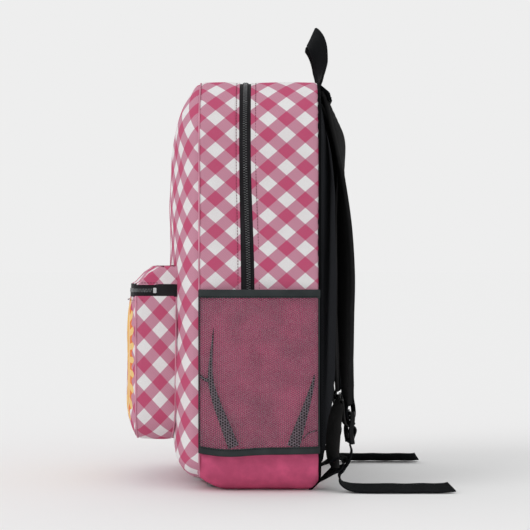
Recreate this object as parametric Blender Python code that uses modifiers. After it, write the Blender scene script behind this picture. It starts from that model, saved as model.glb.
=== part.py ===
"""School backpack: a zipped main bag, a zipped front pocket, two elastic mesh side
pockets, a carrying handle and two padded shoulder straps with webbing adjusters.

The origin is on the ground under the middle of the bag. +Z is up, the pocket faces -Y,
the shoulder straps are on the +Y side, and the bag's width runs along X.
Names ending in _R are on the +X side and names ending in _L on the -X side.
"""

import math
from functools import partial

import bmesh
import bpy
from mathutils import Vector

# Driving dimensions, in metres.
WIDTH = 0.300
HEIGHT = 0.473
SEAM_FRONT = -0.044
SEAM_BACK = 0.093
TOP_RADIUS = 0.070
BASE_RADIUS = 0.036
FABRIC = 0.002
GAP = 0.0004
PANEL_INSET = 0.0029
PANEL_Z0 = 0.0046
FRONT_BULGE = 0.0405
FRONT_REACH = 0.150
BACK_BULGE = 0.0195
BACK_REACH = 0.130
BACK_RIDGE = 0.0055
BACK_RIDGE_HALF = 0.055

# Heights of the sewn lines on the bag.
BASE_TOP = 0.043
HEM_TOP = 0.053
MESH_TOP = 0.2215
ELASTIC_TOP = 0.231
FLAP_HINGE_Z = 0.262

# The main zipper runs over the gusset in its own strip.
ZIP_Y = 0.0082
ZIP_HALF = 0.0067
COIL_WIDTH = 0.0024
COIL_GAP = 0.0006
COIL = 0.0015
COIL_OUT = 0.0007
TAPE = 0.0008
TAPE_IN = 0.0012

# The front pocket.
POCKET_HALF = 0.110
POCKET_Z0 = 0.057
POCKET_RADIUS = 0.034
POCKET_EDGE_Y = -0.1185
POCKET_BULGE = 0.0168
POCKET_ZIP_Z = 0.2295
POCKET_TOP_Z = 0.2575
LID_Z0 = 0.2374
LID_TAPE_REAR = -0.0875
POCKET_TAPE_IN = 0.0022

# Mesh side pockets stand this far off the side in the middle.
MESH_EDGE_X = 0.1512
MESH_BULGE = 0.0110

# Webbing, straps and hardware.
WEB = 0.025
WEB_THICK = 0.0016
FOLDED = 0.003
STRAP_THICK = 0.008
STRAP_HINGE = (0.0955, 0.469)
HANDLE_HINGE = (0.0965, 0.4735)
LOCK_X = 0.128
LOCK_Y = 0.128
LOCK_Z = 0.073
LOCK_SIZE = (0.036, 0.0056, 0.038)
LOCK_LEAN = 0.14
ANCHOR = (0.1175, 0.0300)
SLIDER_X = 0.0075
SLIDER_LIFT = 0.0030
PULL_LIFT = 0.0015
POCKET_SLIDER_X = -0.083

WHOLE = "school_backpack"

COLORS = {
    "gingham": ((0.72, 0.36, 0.47), 0.85, 0.0),
    "pink": ((0.38, 0.062, 0.125), 0.85, 0.0),
    "mesh": ((0.030, 0.028, 0.032), 0.80, 0.0),
    "webbing": ((0.012, 0.012, 0.013), 0.75, 0.0),
    "binding": ((0.036, 0.040, 0.044), 0.80, 0.0),
    "padding": ((0.010, 0.010, 0.012), 0.85, 0.0),
    "zipper": ((0.014, 0.014, 0.015), 0.60, 0.0),
    "metal": ((0.62, 0.62, 0.62), 0.30, 1.0),
    "plastic": ((0.012, 0.012, 0.013), 0.40, 0.0),
    "foam": ((0.45, 0.45, 0.46), 0.90, 0.0),
    "lining": ((0.10, 0.10, 0.11), 0.85, 0.0),
}


# ---------------------------------------------------------------- scene and helpers


def clear_scene():
    for obj in list(bpy.data.objects):
        bpy.data.objects.remove(obj, do_unlink=True)
    for name in (WHOLE, "cutters"):
        old = bpy.data.collections.get(name)
        if old:
            bpy.data.collections.remove(old)
        bpy.context.scene.collection.children.link(bpy.data.collections.new(name))


def material(kind):
    """The Principled material of one kind of cloth, plastic or metal."""
    found = bpy.data.materials.get(kind)
    if found:
        return found
    color, roughness, metallic = COLORS[kind]
    mat = bpy.data.materials.new(kind)
    mat.use_nodes = True
    shader = mat.node_tree.nodes["Principled BSDF"]
    shader.inputs["Base Color"].default_value = (*color, 1.0)
    shader.inputs["Roughness"].default_value = roughness
    shader.inputs["Metallic"].default_value = metallic
    return mat


def new_object(name, data, kind, collection=WHOLE):
    obj = bpy.data.objects.new(name, data)
    bpy.data.collections[collection].objects.link(obj)
    if kind:
        data.materials.append(material(kind))
    return obj


def pivot(name, place):
    """An empty on a joint's axis, which the moving pieces are parented to."""
    empty = bpy.data.objects.new(name, None)
    empty.location = place
    bpy.data.collections[WHOLE].objects.link(empty)
    return empty


def hang_on(empty, *pieces):
    """Parents pieces that are modelled in world coordinates to an empty."""
    for piece in pieces:
        piece.parent = empty
        piece.location = Vector(piece.location) - Vector(empty.location)


def mix(a, b, t):
    return a + (b - a) * t


def rise(t, power):
    """0 at 0 and 1 at 1, with its steepest part first."""
    return 1.0 - (1.0 - min(max(t, 0.0), 1.0)) ** power


def smooth_through(points, t):
    """A point on a smooth curve through the given points, for t from 0 to 1."""
    spans = len(points) - 1
    i = min(int(t * spans), spans - 1)
    f = t * spans - i
    p1, p2 = Vector(points[i]), Vector(points[i + 1])
    p0 = Vector(points[i - 1]) if i else p1 * 2 - p2
    p3 = Vector(points[i + 2]) if i + 2 <= spans else p2 * 2 - p1
    return 0.5 * (
        2 * p1
        + (p2 - p0) * f
        + (2 * p0 - 5 * p1 + 4 * p2 - p3) * f * f
        + (3 * p1 - p0 - 3 * p2 + p3) * f * f * f
    )


def shell(name, across, along, place, thickness, kind, offset=-1.0):
    """A sheet of across by along squares whose points place(u, v) gives, made thick.

    With offset -1 the thickness goes against the sheet's normal, and with 0 both ways.
    """
    mesh = bpy.data.meshes.new(name)
    bm = bmesh.new()
    bmesh.ops.create_grid(bm, x_segments=across, y_segments=along, size=1.0)
    for vert in bm.verts:
        vert.co = place((vert.co.x + 1) / 2, (vert.co.y + 1) / 2)
    bm.to_mesh(mesh)
    bm.free()
    obj = new_object(name, mesh, kind)
    solid = obj.modifiers.new("thickness", "SOLIDIFY")
    solid.thickness = thickness
    solid.offset = offset
    solid.use_even_offset = offset != 0
    return obj


def ribbon(name, path, widths, steps, thickness, kind, across=1):
    """A flat strap: path(t) is its middle line and widths(t) its width as a vector."""
    return shell(
        name,
        steps,
        across,
        lambda u, v: Vector(path(u)) + Vector(widths(u)) * (v - 0.5),
        thickness,
        kind,
        offset=0.0,
    )


def plate(name, outlines, thickness, kind, place, turn=(0, 0, 0), collection=WHOLE):
    """A flat plate: the first outline is its edge and any others are its holes."""
    curve = bpy.data.curves.new(name, "CURVE")
    curve.dimensions = "2D"
    curve.fill_mode = "BOTH"
    curve.extrude = thickness / 2
    for outline in outlines:
        spline = curve.splines.new("POLY")
        spline.points.add(len(outline) - 1)
        for point, (x, y) in zip(spline.points, outline):
            point.co = (x, y, 0.0, 1.0)
        spline.use_cyclic_u = True
    obj = new_object(name, curve, kind, collection)
    obj.location = place
    obj.rotation_euler = turn
    return obj


def as_mesh(obj):
    """The same piece as a closed mesh, which can be joined to others."""
    bpy.context.view_layer.update()
    seen = obj.evaluated_get(bpy.context.evaluated_depsgraph_get())
    mesh = bpy.data.meshes.new_from_object(seen)
    bm = bmesh.new()
    bm.from_mesh(mesh)
    bmesh.ops.remove_doubles(bm, verts=bm.verts, dist=0.00001)
    bmesh.ops.recalc_face_normals(bm, faces=bm.faces)
    bm.to_mesh(mesh)
    bm.free()
    made = bpy.data.objects.new(obj.name, mesh)
    made.matrix_world = obj.matrix_world.copy()
    for collection in obj.users_collection:
        collection.objects.link(made)
    name = obj.name
    bpy.data.objects.remove(obj, do_unlink=True)
    made.name = name
    return made


def join_to(obj, other):
    """Adds a closed piece to obj with a Boolean union."""
    other.hide_render = True
    other.display_type = "WIRE"
    union = obj.modifiers.new("joined", "BOOLEAN")
    union.operation = "UNION"
    union.solver = "EXACT"
    union.object = other


def rounded(width, height, radius, middle=(0.0, 0.0), steps=4):
    """The outline of a rectangle with round corners."""
    points = []
    for corner, (sx, sy) in enumerate(((1, 1), (-1, 1), (-1, -1), (1, -1))):
        cx = middle[0] + sx * (width / 2 - radius)
        cy = middle[1] + sy * (height / 2 - radius)
        for i in range(steps + 1):
            angle = math.radians(90 * corner + 90 * i / steps)
            points.append((cx + radius * math.cos(angle), cy + radius * math.sin(angle)))
    return points


# ---------------------------------------------------------------- the bag's own shape


def leg(hypotenuse, other):
    """The third side of a right triangle."""
    return math.sqrt(max(hypotenuse**2 - other**2, 0.0))


def half_width(z, inset=0.0):
    """Half the width of the bag's front outline at a height."""
    full = WIDTH / 2
    if z > HEIGHT - TOP_RADIUS:
        above = z - HEIGHT + TOP_RADIUS
        return full - TOP_RADIUS + leg(TOP_RADIUS - inset, above)
    if z < BASE_RADIUS:
        return full - BASE_RADIUS + leg(BASE_RADIUS - inset, BASE_RADIUS - z)
    return full - inset


def edge_distance(x, z):
    """How far inside the bag's front outline a point is."""
    radius = TOP_RADIUS if z > HEIGHT / 2 else BASE_RADIUS
    qx = abs(x) - (WIDTH / 2 - radius)
    qz = abs(z - HEIGHT / 2) - (HEIGHT / 2 - radius)
    return radius - math.hypot(max(qx, 0.0), max(qz, 0.0)) - min(max(qx, qz), 0.0)


def front_y(x, z):
    """The outside of the front panel, which is fuller near the base."""
    lift = rise(edge_distance(x, z) / FRONT_REACH, 2.2)
    return SEAM_FRONT - FRONT_BULGE * lift ** mix(0.45, 0.70, z / HEIGHT)


def ease(t):
    """Smoothly from 0 at 0 to 1 at 1."""
    t = min(max(t, 0.0), 1.0)
    return t * t * (3 - 2 * t)


def back_y(x, z):
    """The outside of the padded back panel, with a fuller ridge between the straps."""
    ridge = max(1.0 - (x / BACK_RIDGE_HALF) ** 2, 0.0) ** 2
    ridge *= ease((z - 0.030) / 0.060) * ease((0.455 - z) / 0.060)
    cushion = BACK_BULGE * rise(edge_distance(x, z) / BACK_REACH, 1.3)
    return SEAM_BACK + cushion + BACK_RIDGE * ridge


def side_path(t, z0, inset=0.0):
    """A point of the gusset's line from z0 on the right, over the top, to z0 on the left."""
    straight = HEIGHT - TOP_RADIUS - z0
    arc = TOP_RADIUS * math.pi / 2
    top = WIDTH / 2 - TOP_RADIUS
    half = straight + arc + top
    side = 1.0 if t <= 0.5 else -1.0
    run = (t if t <= 0.5 else 1.0 - t) * 2 * half
    if run <= straight:
        return side * (WIDTH / 2 - inset), z0 + run
    if run <= straight + arc:
        angle = (run - straight) / TOP_RADIUS
        reach = TOP_RADIUS - inset
        z = HEIGHT - TOP_RADIUS + reach * math.sin(angle)
        return side * (top + reach * math.cos(angle)), z
    return side * (top - (run - straight - arc)), HEIGHT - inset


def base_path(t, inset=0.0):
    """A point of the base's line, from the right side down, under, and up the left side."""
    straight = BASE_TOP - BASE_RADIUS
    arc = BASE_RADIUS * math.pi / 2
    flat = WIDTH / 2 - BASE_RADIUS
    half = straight + arc + flat
    side = 1.0 if t <= 0.5 else -1.0
    run = (t if t <= 0.5 else 1.0 - t) * 2 * half
    reach = BASE_RADIUS - inset
    if run <= straight:
        return side * (WIDTH / 2 - inset), BASE_TOP - run
    if run <= straight + arc:
        angle = (run - straight) / BASE_RADIUS
        return side * (flat + reach * math.cos(angle)), BASE_RADIUS - reach * math.sin(angle)
    return side * (flat - (run - straight - arc)), inset


def gusset_band(name, z0, y0, y1, kind, inset=0.0, thickness=FABRIC, steps=40):
    """A strip of the gusset between two depths, from one side over the top to the other."""

    def place(u, v):
        x, z = side_path(u, z0, inset)
        return x, mix(y1, y0, v), z

    return shell(name, steps, 1, place, thickness, kind)


def bulged_panel(name, z0, z1, depth, kind, inset, thickness, rows, facing):
    """A front or back panel between two heights; depth(x, z) is its outer face."""

    def place(u, v):
        z = mix(z0, z1, math.sin(v * math.pi / 2) if z1 > HEIGHT - TOP_RADIUS else v)
        x = half_width(z, inset) * math.sin((u - 0.5) * math.pi)
        return -facing * x, depth(x, z), z

    return shell(name, 14, rows, place, thickness, kind)


# ---------------------------------------------------------------- the main bag


def make_back():
    """The padded back panel, the foam inside it, and the sleeve for a laptop."""
    inset = PANEL_INSET
    top = HEIGHT - inset
    bulged_panel("back_panel", PANEL_Z0, top, back_y, "padding", inset, FABRIC, 14, 1)
    foam_gap = FABRIC + 0.0035
    foam_inset = 0.012
    bulged_panel(
        "back_foam",
        foam_inset,
        HEIGHT - foam_inset,
        lambda x, z: back_y(x, z) - foam_gap,
        "foam",
        foam_inset,
        0.006,
        10,
        1,
    )
    plate(
        "laptop_sleeve",
        [rounded(0.250, 0.318, 0.012)],
        0.0025,
        "lining",
        (0.0, 0.0787, 0.171),
        (math.radians(90), 0, 0),
    )


def make_base():
    """The cloth under the bag and up its lower sides, and the board that lies in it."""

    def place(u, v):
        x, z = base_path(u)
        return x, mix(SEAM_FRONT, SEAM_BACK, v), z

    shell("bottom_panel", 28, 1, place, FABRIC, "pink")
    board = [rounded(0.212, 0.112, 0.012)]
    plate("base_stiffener", board, 0.003, "foam", (0.0, 0.019, 0.0042))


def make_sides(side, tag):
    """The solid cloth behind a mesh pocket, and the short front gusset above it."""
    x = side * (WIDTH / 2 - FABRIC / 2)
    depth = SEAM_BACK - SEAM_FRONT
    middle = (SEAM_BACK + SEAM_FRONT) / 2
    panel = [rounded(depth, ELASTIC_TOP - BASE_TOP - GAP, 0.0005, steps=1)]
    place = (x, middle, (ELASTIC_TOP + BASE_TOP + GAP) / 2)
    upright = (math.radians(90), 0, math.radians(90))
    plate("side_panel" + tag, panel, FABRIC, "pink", place, upright)
    front_edge = ZIP_Y - ZIP_HALF - GAP
    tall = FLAP_HINGE_Z - ELASTIC_TOP - 3 * GAP
    stub = [rounded(front_edge - SEAM_FRONT, tall, 0.0005, steps=1)]
    place = (x, (front_edge + SEAM_FRONT) / 2, (FLAP_HINGE_Z + ELASTIC_TOP) / 2)
    plate("gusset_front_stub" + tag, stub, FABRIC, "gingham", place, upright)


def make_rear_gusset():
    """The gusset behind the zipper, with the half of the zipper that is sewn to it."""
    z0 = ELASTIC_TOP + GAP
    edge = ZIP_Y + ZIP_HALF
    gusset_band("gusset_rear", z0, edge + GAP, SEAM_BACK, "gingham")
    tape_y = ZIP_Y + COIL_GAP
    gusset_band("zipper_tape_rear", z0, tape_y, edge, "zipper", TAPE_IN, TAPE)
    coil_y = tape_y + COIL_WIDTH
    gusset_band("zipper_coil_rear", z0, tape_y, coil_y, "zipper", -COIL_OUT, COIL)


def make_lower_front():
    """The front below the fold, which stays with the bag."""
    inset = PANEL_INSET
    top = FLAP_HINGE_Z - GAP
    bulged_panel("front_panel_lower", PANEL_Z0, top, front_y, "gingham", inset, FABRIC, 12, -1)


def make_flap(hinge):
    """The upper half of the front, which folds forward when the zipper is open."""
    inset = PANEL_INSET
    z0 = FLAP_HINGE_Z + GAP
    top = HEIGHT - inset
    shape = (front_y, "gingham", inset, FABRIC, 12, -1)
    panel = bulged_panel("front_panel_upper", z0, top, *shape)
    edge = ZIP_Y - ZIP_HALF
    strip = gusset_band("gusset_front", z0, SEAM_FRONT, edge - GAP, "gingham")
    tape_y = ZIP_Y - COIL_GAP
    tape = gusset_band("zipper_tape_front", z0, edge, tape_y, "zipper", TAPE_IN, TAPE)
    coil_y = tape_y - COIL_WIDTH
    coil = gusset_band("zipper_coil_front", z0, coil_y, tape_y, "zipper", -COIL_OUT, COIL)
    hang_on(hinge, panel, strip, tape, coil)


# ---------------------------------------------------------------- sliders and pulls


def slider(name, place, turn, foot_side, kind):
    """A zip slider: a raised plate with a foot on one side of the coil and a bridge.

    Its own x is the way it runs, and its own z points out of the cloth.
    """
    foot_in = 0.0009
    foot_depth = 0.0026
    body = plate(name, [rounded(0.0095, 0.0084, 0.0018)], 0.0014, kind, place, turn)
    body = as_mesh(body)
    foot_middle = (0.0, foot_side * (0.0042 + foot_in) / 2)
    foot = plate(
        name + "_foot",
        [rounded(0.0080, 0.0042 - foot_in, 0.0008, foot_middle)],
        foot_depth,
        None,
        body.matrix_world @ Vector((0.0, 0.0, -foot_depth / 2)),
        turn,
        "cutters",
    )
    join_to(body, as_mesh(foot))
    bridge = [(-0.0036, -0.001), (-0.0036, 0.0016), (-0.0022, 0.0032), (0.0022, 0.0032)]
    bridge += [(0.0036, 0.0016), (0.0036, -0.001), (0.0026, -0.001), (0.0026, 0.0014)]
    bridge += [(0.0018, 0.0023), (-0.0018, 0.0023), (-0.0026, 0.0014), (-0.0026, -0.001)]
    arch = plate(name + "_bridge", [bridge], 0.0012, None, (0, 0, 0), (0, 0, 0), "cutters")
    arch.rotation_euler = (math.radians(90) + turn[0], 0, 0)
    arch.location = body.matrix_world @ Vector((0.0, 0.0, 0.0007))
    join_to(body, as_mesh(arch))
    return body


def pull(name, place, turn, direction, kind):
    """A flat zip pull whose end bar lies under the slider's bridge, at its origin."""
    length = 0.026
    bar = 0.0011
    shift = direction * (length / 2 - bar / 2)
    eye = direction * (bar / 2 + 0.0026)
    hole = direction * (length - 0.005)
    outlines = [
        rounded(length, 0.0066, 0.0020, (shift, 0.0)),
        rounded(0.0052, 0.0038, 0.0008, (eye, 0.0)),
        rounded(0.0050, 0.0026, 0.0012, (hole, 0.0)),
    ]
    return plate(name, outlines, 0.0010, kind, place, turn)


def make_main_sliders():
    """Two sliders that meet in the middle of the top."""
    plate_z = HEIGHT + COIL_OUT + SLIDER_LIFT
    for side, tag in ((1, "_R"), (-1, "_L")):
        x = side * SLIDER_X
        slider("main_slider" + tag, (x, ZIP_Y, plate_z), (0, 0, 0), 1, "metal")
        hook = (x, ZIP_Y, plate_z + PULL_LIFT)
        pull("main_pull" + tag, hook, (0, 0, 0), side, "metal")


# ---------------------------------------------------------------- front pocket


def pocket_face_y(x, z):
    """The outside of the pocket's front, which swells in the middle."""
    sideways = 1.0 - abs(x / POCKET_HALF) ** 3.5
    low = rise((z - POCKET_Z0) / 0.045, 2.2) ** 0.6
    high = 1.0 - 0.38 * rise((z - 0.170) / (POCKET_ZIP_Z - 0.170), 1.0) ** 2
    return POCKET_EDGE_Y - POCKET_BULGE * sideways * low * high


def pocket_wrap(s, z, outset, rear):
    """A point round the pocket at a height: its right side, its front and its left side."""
    side = 1.0 if s <= 0.5 else -1.0
    run = (s if s <= 0.5 else 1.0 - s) * 2
    if run <= 0.4:
        return side * (POCKET_HALF + outset), mix(rear, POCKET_EDGE_Y - outset, run / 0.4), z
    x = POCKET_HALF * (1.0 - (run - 0.4) / 0.6)
    across = side * x * (POCKET_HALF + outset) / POCKET_HALF
    return across, pocket_face_y(x, z) - outset, z


def pocket_outline(t):
    """A point of the pocket's sewn edge: down the right side, along the base and up."""
    straight = POCKET_ZIP_Z - 0.008 - POCKET_Z0 - POCKET_RADIUS
    arc = POCKET_RADIUS * math.pi / 2
    flat = POCKET_HALF - POCKET_RADIUS
    half = straight + arc + flat
    side = 1.0 if t <= 0.5 else -1.0
    run = (t if t <= 0.5 else 1.0 - t) * 2 * half
    if run <= straight:
        return side * POCKET_HALF, POCKET_Z0 + POCKET_RADIUS + straight - run
    if run <= straight + arc:
        angle = (run - straight) / POCKET_RADIUS
        x = flat + POCKET_RADIUS * math.cos(angle)
        return side * x, POCKET_Z0 + POCKET_RADIUS * (1 - math.sin(angle))
    return side * (flat - (run - straight - arc)), POCKET_Z0


def pocket_half_width(z):
    """Half the width of the pocket's front at a height."""
    above = z - POCKET_Z0
    if above >= POCKET_RADIUS:
        return POCKET_HALF
    return POCKET_HALF - POCKET_RADIUS + leg(POCKET_RADIUS, POCKET_RADIUS - above)


def make_pocket():
    """The pocket below its zipper, which stays sewn to the bag."""

    def side_place(u, v):
        x, z = pocket_outline(u)
        return x, mix(front_y(x, z) - 0.001, POCKET_EDGE_Y + 0.0026, v), z

    shell("pocket_side_band", 30, 1, side_place, FABRIC, "gingham", offset=1.0)
    z_low = POCKET_Z0 + GAP
    z_high = POCKET_ZIP_Z - 0.0076

    def face_place(u, v):
        z = mix(z_low, z_high, v**1.4)
        x = pocket_half_width(z) * math.sin((u - 0.5) * math.pi)
        return x, pocket_face_y(x, z), z

    shell("pocket_front_panel", 16, 12, face_place, FABRIC, "gingham")
    half = COIL_GAP / 2

    def lower(outset, depth, u, v):
        z = POCKET_ZIP_Z - half - depth * (1 - v)
        return pocket_wrap(u, z, outset, front_y(POCKET_HALF, z) - 0.001)

    tape = partial(lower, -POCKET_TAPE_IN, 0.0066)
    shell("pocket_tape_lower", 30, 1, tape, TAPE, "zipper", offset=1.0)
    coil = partial(lower, COIL_OUT, COIL_WIDTH)
    shell("pocket_coil_lower", 30, 1, coil, COIL, "zipper", offset=1.0)
    for side, tag in ((1, "_R"), (-1, "_L")):
        plate(
            "pocket_end_stop" + tag,
            [rounded(0.0038, 0.0060, 0.0008)],
            0.0012,
            "metal",
            (side * (POCKET_HALF + 0.0018), -0.0968, POCKET_ZIP_Z),
            (math.radians(90), 0, math.radians(90)),
        )


def make_pocket_lid(hinge):
    """The pocket's top above its zipper, which lifts when the zipper is open."""

    def top_place(u, v):
        x = POCKET_HALF * math.sin((u - 0.5) * math.pi)
        front = pocket_face_y(x, LID_Z0)
        rear = front_y(x, POCKET_TOP_Z) - 0.0012
        height = (1.0 - v**1.8) * (1.0 - abs(x / POCKET_HALF) ** 6)
        return x, mix(rear, front, v), LID_Z0 + (POCKET_TOP_Z - LID_Z0) * height

    cap = shell("pocket_top_cap", 16, 8, top_place, FABRIC, "gingham", offset=1.0)
    half = COIL_GAP / 2

    def upper(outset, depth, u, v):
        return pocket_wrap(u, POCKET_ZIP_Z + half + depth * v, outset, LID_TAPE_REAR)

    tape_place = partial(upper, -POCKET_TAPE_IN, 0.0056)
    tape = shell("pocket_tape_upper", 30, 1, tape_place, TAPE, "zipper", offset=1.0)
    coil_place = partial(upper, COIL_OUT, COIL_WIDTH)
    coil = shell("pocket_coil_upper", 30, 1, coil_place, COIL, "zipper", offset=1.0)
    hang_on(hinge, cap, tape, coil)


def make_pocket_slider():
    """A slider that clears the fullest part of the pocket's front as it runs across it."""
    y = pocket_face_y(0.0, POCKET_ZIP_Z - COIL_WIDTH) - COIL_OUT - SLIDER_LIFT
    turn = (math.radians(90), 0, 0)
    slider("pocket_slider", (POCKET_SLIDER_X, y, POCKET_ZIP_Z), turn, -1, "metal")
    hook = (POCKET_SLIDER_X, y - PULL_LIFT, POCKET_ZIP_Z)
    pull("pocket_pull", hook, turn, -1, "metal")


# ---------------------------------------------------------------- mesh side pockets


def make_mesh_pocket(side, tag, hinge):
    """The elastic-topped mesh panel and the hem that it is sewn down with."""

    def place_between(z0, z1, extra):
        def place(u, v):
            y = mix(SEAM_FRONT, SEAM_BACK, u)
            bulge = MESH_BULGE * max(math.sin(math.pi * u), 0.0) ** 0.6
            return side * (MESH_EDGE_X + bulge + extra), y, mix(z0, z1, v)

        return place

    net = place_between(HEM_TOP + GAP, MESH_TOP, 0.0)
    mesh = shell("side_mesh" + tag, 16, 4, net, 0.0012, "mesh", side)
    edge = place_between(MESH_TOP + GAP, ELASTIC_TOP, 0.0004)
    band = shell("mesh_elastic" + tag, 16, 1, edge, 0.0020, "binding", side)
    fold = place_between(BASE_TOP, HEM_TOP, 0.0)
    hem = shell("mesh_hem" + tag, 16, 1, fold, 0.0016, "binding", side)
    hang_on(hinge, mesh, band, hem)


# ---------------------------------------------------------------- straps and handle

HANDLE_LINE = [
    (0.047, 0.0965, 0.4737),
    (0.046, 0.0985, 0.492),
    (0.043, 0.0972, 0.510),
    (0.034, 0.0935, 0.526),
    (0.016, 0.0892, 0.536),
    (0.000, 0.0881, 0.538),
    (-0.016, 0.0892, 0.536),
    (-0.034, 0.0935, 0.526),
    (-0.043, 0.0972, 0.510),
    (-0.046, 0.0985, 0.492),
    (-0.047, 0.0965, 0.4737),
]


def handle_width(t):
    """The handle's webbing lies across at its ends and stands on edge over its top."""
    lean = math.sin(math.pi * t)
    turn = math.radians(90) * lean**2
    side = math.cos(math.pi * t)
    twist = math.radians(27) * min(1.0, 7 * t, 7 * (1 - t))
    ends = Vector((math.cos(twist), math.sin(twist), 0.0))
    top = Vector((0.0, 0.41, 0.91))
    across = ends * math.cos(turn) + top * math.sin(turn)
    across.x += -0.9 * side * lean * math.sin(turn)
    return across.normalized() * WEB


def make_handle(hinge):
    path = partial(smooth_through, HANDLE_LINE)
    hang_on(hinge, ribbon("top_handle", path, handle_width, 32, WEB_THICK, "webbing"))


# The strap's middle line, from the shoulder down: across, depth, height, width and lean.
# The lean is how much further back its outer edge is, for each metre of width.
STRAP_LINE = [
    (0.064, 0.1030, 0.4530, 0.066, -0.05),
    (0.067, 0.1110, 0.4330, 0.066, -0.15),
    (0.070, 0.1172, 0.4120, 0.066, -0.22),
    (0.075, 0.1200, 0.3830, 0.066, -0.12),
    (0.082, 0.1219, 0.3400, 0.066, 0.06),
    (0.090, 0.1243, 0.2950, 0.066, 0.16),
    (0.099, 0.1257, 0.2450, 0.064, 0.20),
    (0.108, 0.1250, 0.2000, 0.060, 0.20),
    (0.116, 0.1252, 0.1600, 0.054, 0.18),
    (0.123, 0.1255, 0.1280, 0.044, 0.16),
    (0.127, 0.1262, 0.1040, 0.030, 0.14),
]


def mirrored(points, side):
    return [(side * p[0], *p[1:]) for p in points]


def level(width, lean=0.0):
    """The width of a ribbon that lies across the bag, with one edge further back by lean."""
    return lambda t: (width, lean * width, 0.0)


def make_strap(side, tag, hinge):
    middle = [p[:3] for p in mirrored(STRAP_LINE, side)]
    turns = [(p[3], p[4]) for p in STRAP_LINE]

    def width(t):
        across, lean = smooth_through(turns, t)
        return across, side * lean * across, 0.0

    path = partial(smooth_through, middle)
    strap = ribbon("shoulder_strap" + tag, path, width, 34, STRAP_THICK, "padding", 2)
    yoke_line = [(0.063, 0.0968, 0.4690), (0.0635, 0.1020, 0.4650), (0.064, 0.1050, 0.4576)]
    yoke_path = partial(smooth_through, mirrored(yoke_line, side))
    yoke = ribbon("strap_yoke" + tag, yoke_path, level(0.070), 4, FOLDED, "webbing")
    keeper_line = [(0.1275, 0.1264, 0.1025), (0.128, 0.1275, 0.0930)]
    keeper_path = partial(smooth_through, mirrored(keeper_line, side))
    keeper_width = level(WEB, side * LOCK_LEAN)
    keeper = ribbon("lock_keeper" + tag, keeper_path, keeper_width, 2, FOLDED, "webbing")
    hang_on(hinge, strap, yoke, keeper)


def make_ladder_lock(side, tag):
    """A ladder lock: a plate with four bars and three slots for webbing."""
    width, depth, height = LOCK_SIZE
    slot = width - 0.009
    outlines = [rounded(width, height, 0.004)]
    for z, tall in ((0.0105, 0.0060), (0.0005, 0.0062), (-0.0100, 0.0068)):
        outlines.append(rounded(slot, tall, 0.0012, (0.0, z)))
    spot = (side * LOCK_X, LOCK_Y, LOCK_Z)
    turn = (math.radians(90), 0, side * math.atan(LOCK_LEAN))
    plate("ladder_lock" + tag, outlines, depth, "plastic", spot, turn)


# The loose webbing below each ladder lock, from the lock down to the floor and along it.
TAIL_LINES = {
    "_R": [
        (0.129, 0.1285, 0.0535),
        (0.131, 0.1300, 0.0450),
        (0.134, 0.1270, 0.0345),
        (0.137, 0.1205, 0.0250),
        (0.139, 0.1165, 0.0185),
        (0.141, 0.1185, 0.0115),
        (0.1435, 0.1270, 0.0066),
        (0.1460, 0.1400, 0.0050),
        (0.1475, 0.1560, 0.0050),
        (0.1475, 0.1740, 0.0052),
        (0.1475, 0.1920, 0.0048),
        (0.1470, 0.2100, 0.0053),
        (0.1465, 0.2280, 0.0050),
        (0.1460, 0.2470, 0.0064),
    ],
    "_L": [
        (-0.129, 0.1285, 0.0535),
        (-0.130, 0.1300, 0.0450),
        (-0.132, 0.1275, 0.0345),
        (-0.134, 0.1210, 0.0255),
        (-0.136, 0.1180, 0.0185),
        (-0.138, 0.1215, 0.0115),
        (-0.140, 0.1320, 0.0080),
        (-0.141, 0.1540, 0.0066),
        (-0.142, 0.1710, 0.0068),
        (-0.142, 0.1890, 0.0064),
        (-0.141, 0.2060, 0.0068),
        (-0.140, 0.2200, 0.0066),
        (-0.139, 0.2335, 0.0076),
    ],
}
# How far each tail leans over on its long edge where it lies on the floor, in degrees.
TAIL_BANK = {"_R": 16.0, "_L": 27.0}

ADJUSTER_LINE = [
    (0.1330, 0.1150, 0.0325),
    (0.1325, 0.1112, 0.0450),
    (0.1310, 0.1100, 0.0600),
    (0.1290, 0.1110, 0.0780),
    (0.1275, 0.1138, 0.0920),
    (0.1268, 0.1160, 0.1020),
]
ANCHOR_LINE = [(0.112, 0.0985, 0.0135), (0.124, 0.1080, 0.0195), (0.133, 0.1180, 0.0275)]


def make_tail(side, tag):
    def width(t):
        bank = math.radians(TAIL_BANK[tag]) * rise((t - 0.25) * 3, 1.5)
        return side * WEB * math.cos(bank), 0.0, -WEB * math.sin(bank)

    path = partial(smooth_through, TAIL_LINES[tag])
    ribbon("webbing_tail" + tag, path, width, 46, WEB_THICK, "webbing")


def make_adjuster(side, tag, hinge):
    """The webbing from the corner tab up towards the ladder lock."""
    path = partial(smooth_through, mirrored(ADJUSTER_LINE, side))

    def width(t):
        turn = mix(LOCK_LEAN, 0.50, ease(t * 3)) - 0.20 * ease((t - 0.7) * 3)
        return 0.9 * WEB, side * turn * WEB, 0.0

    strip = ribbon("adjuster_webbing" + tag, path, width, 16, WEB_THICK, "webbing")
    hang_on(hinge, strip)


def make_anchor(side, tag):
    """The folded corner tab that holds the adjuster webbing."""

    def width(t):
        return mix(0.052, 0.030, t), 0.0, 0.0

    path = partial(smooth_through, mirrored(ANCHOR_LINE, side))
    ribbon("anchor_tab" + tag, path, width, 6, 0.0024, "webbing")


# ---------------------------------------------------------------- the whole backpack


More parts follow.
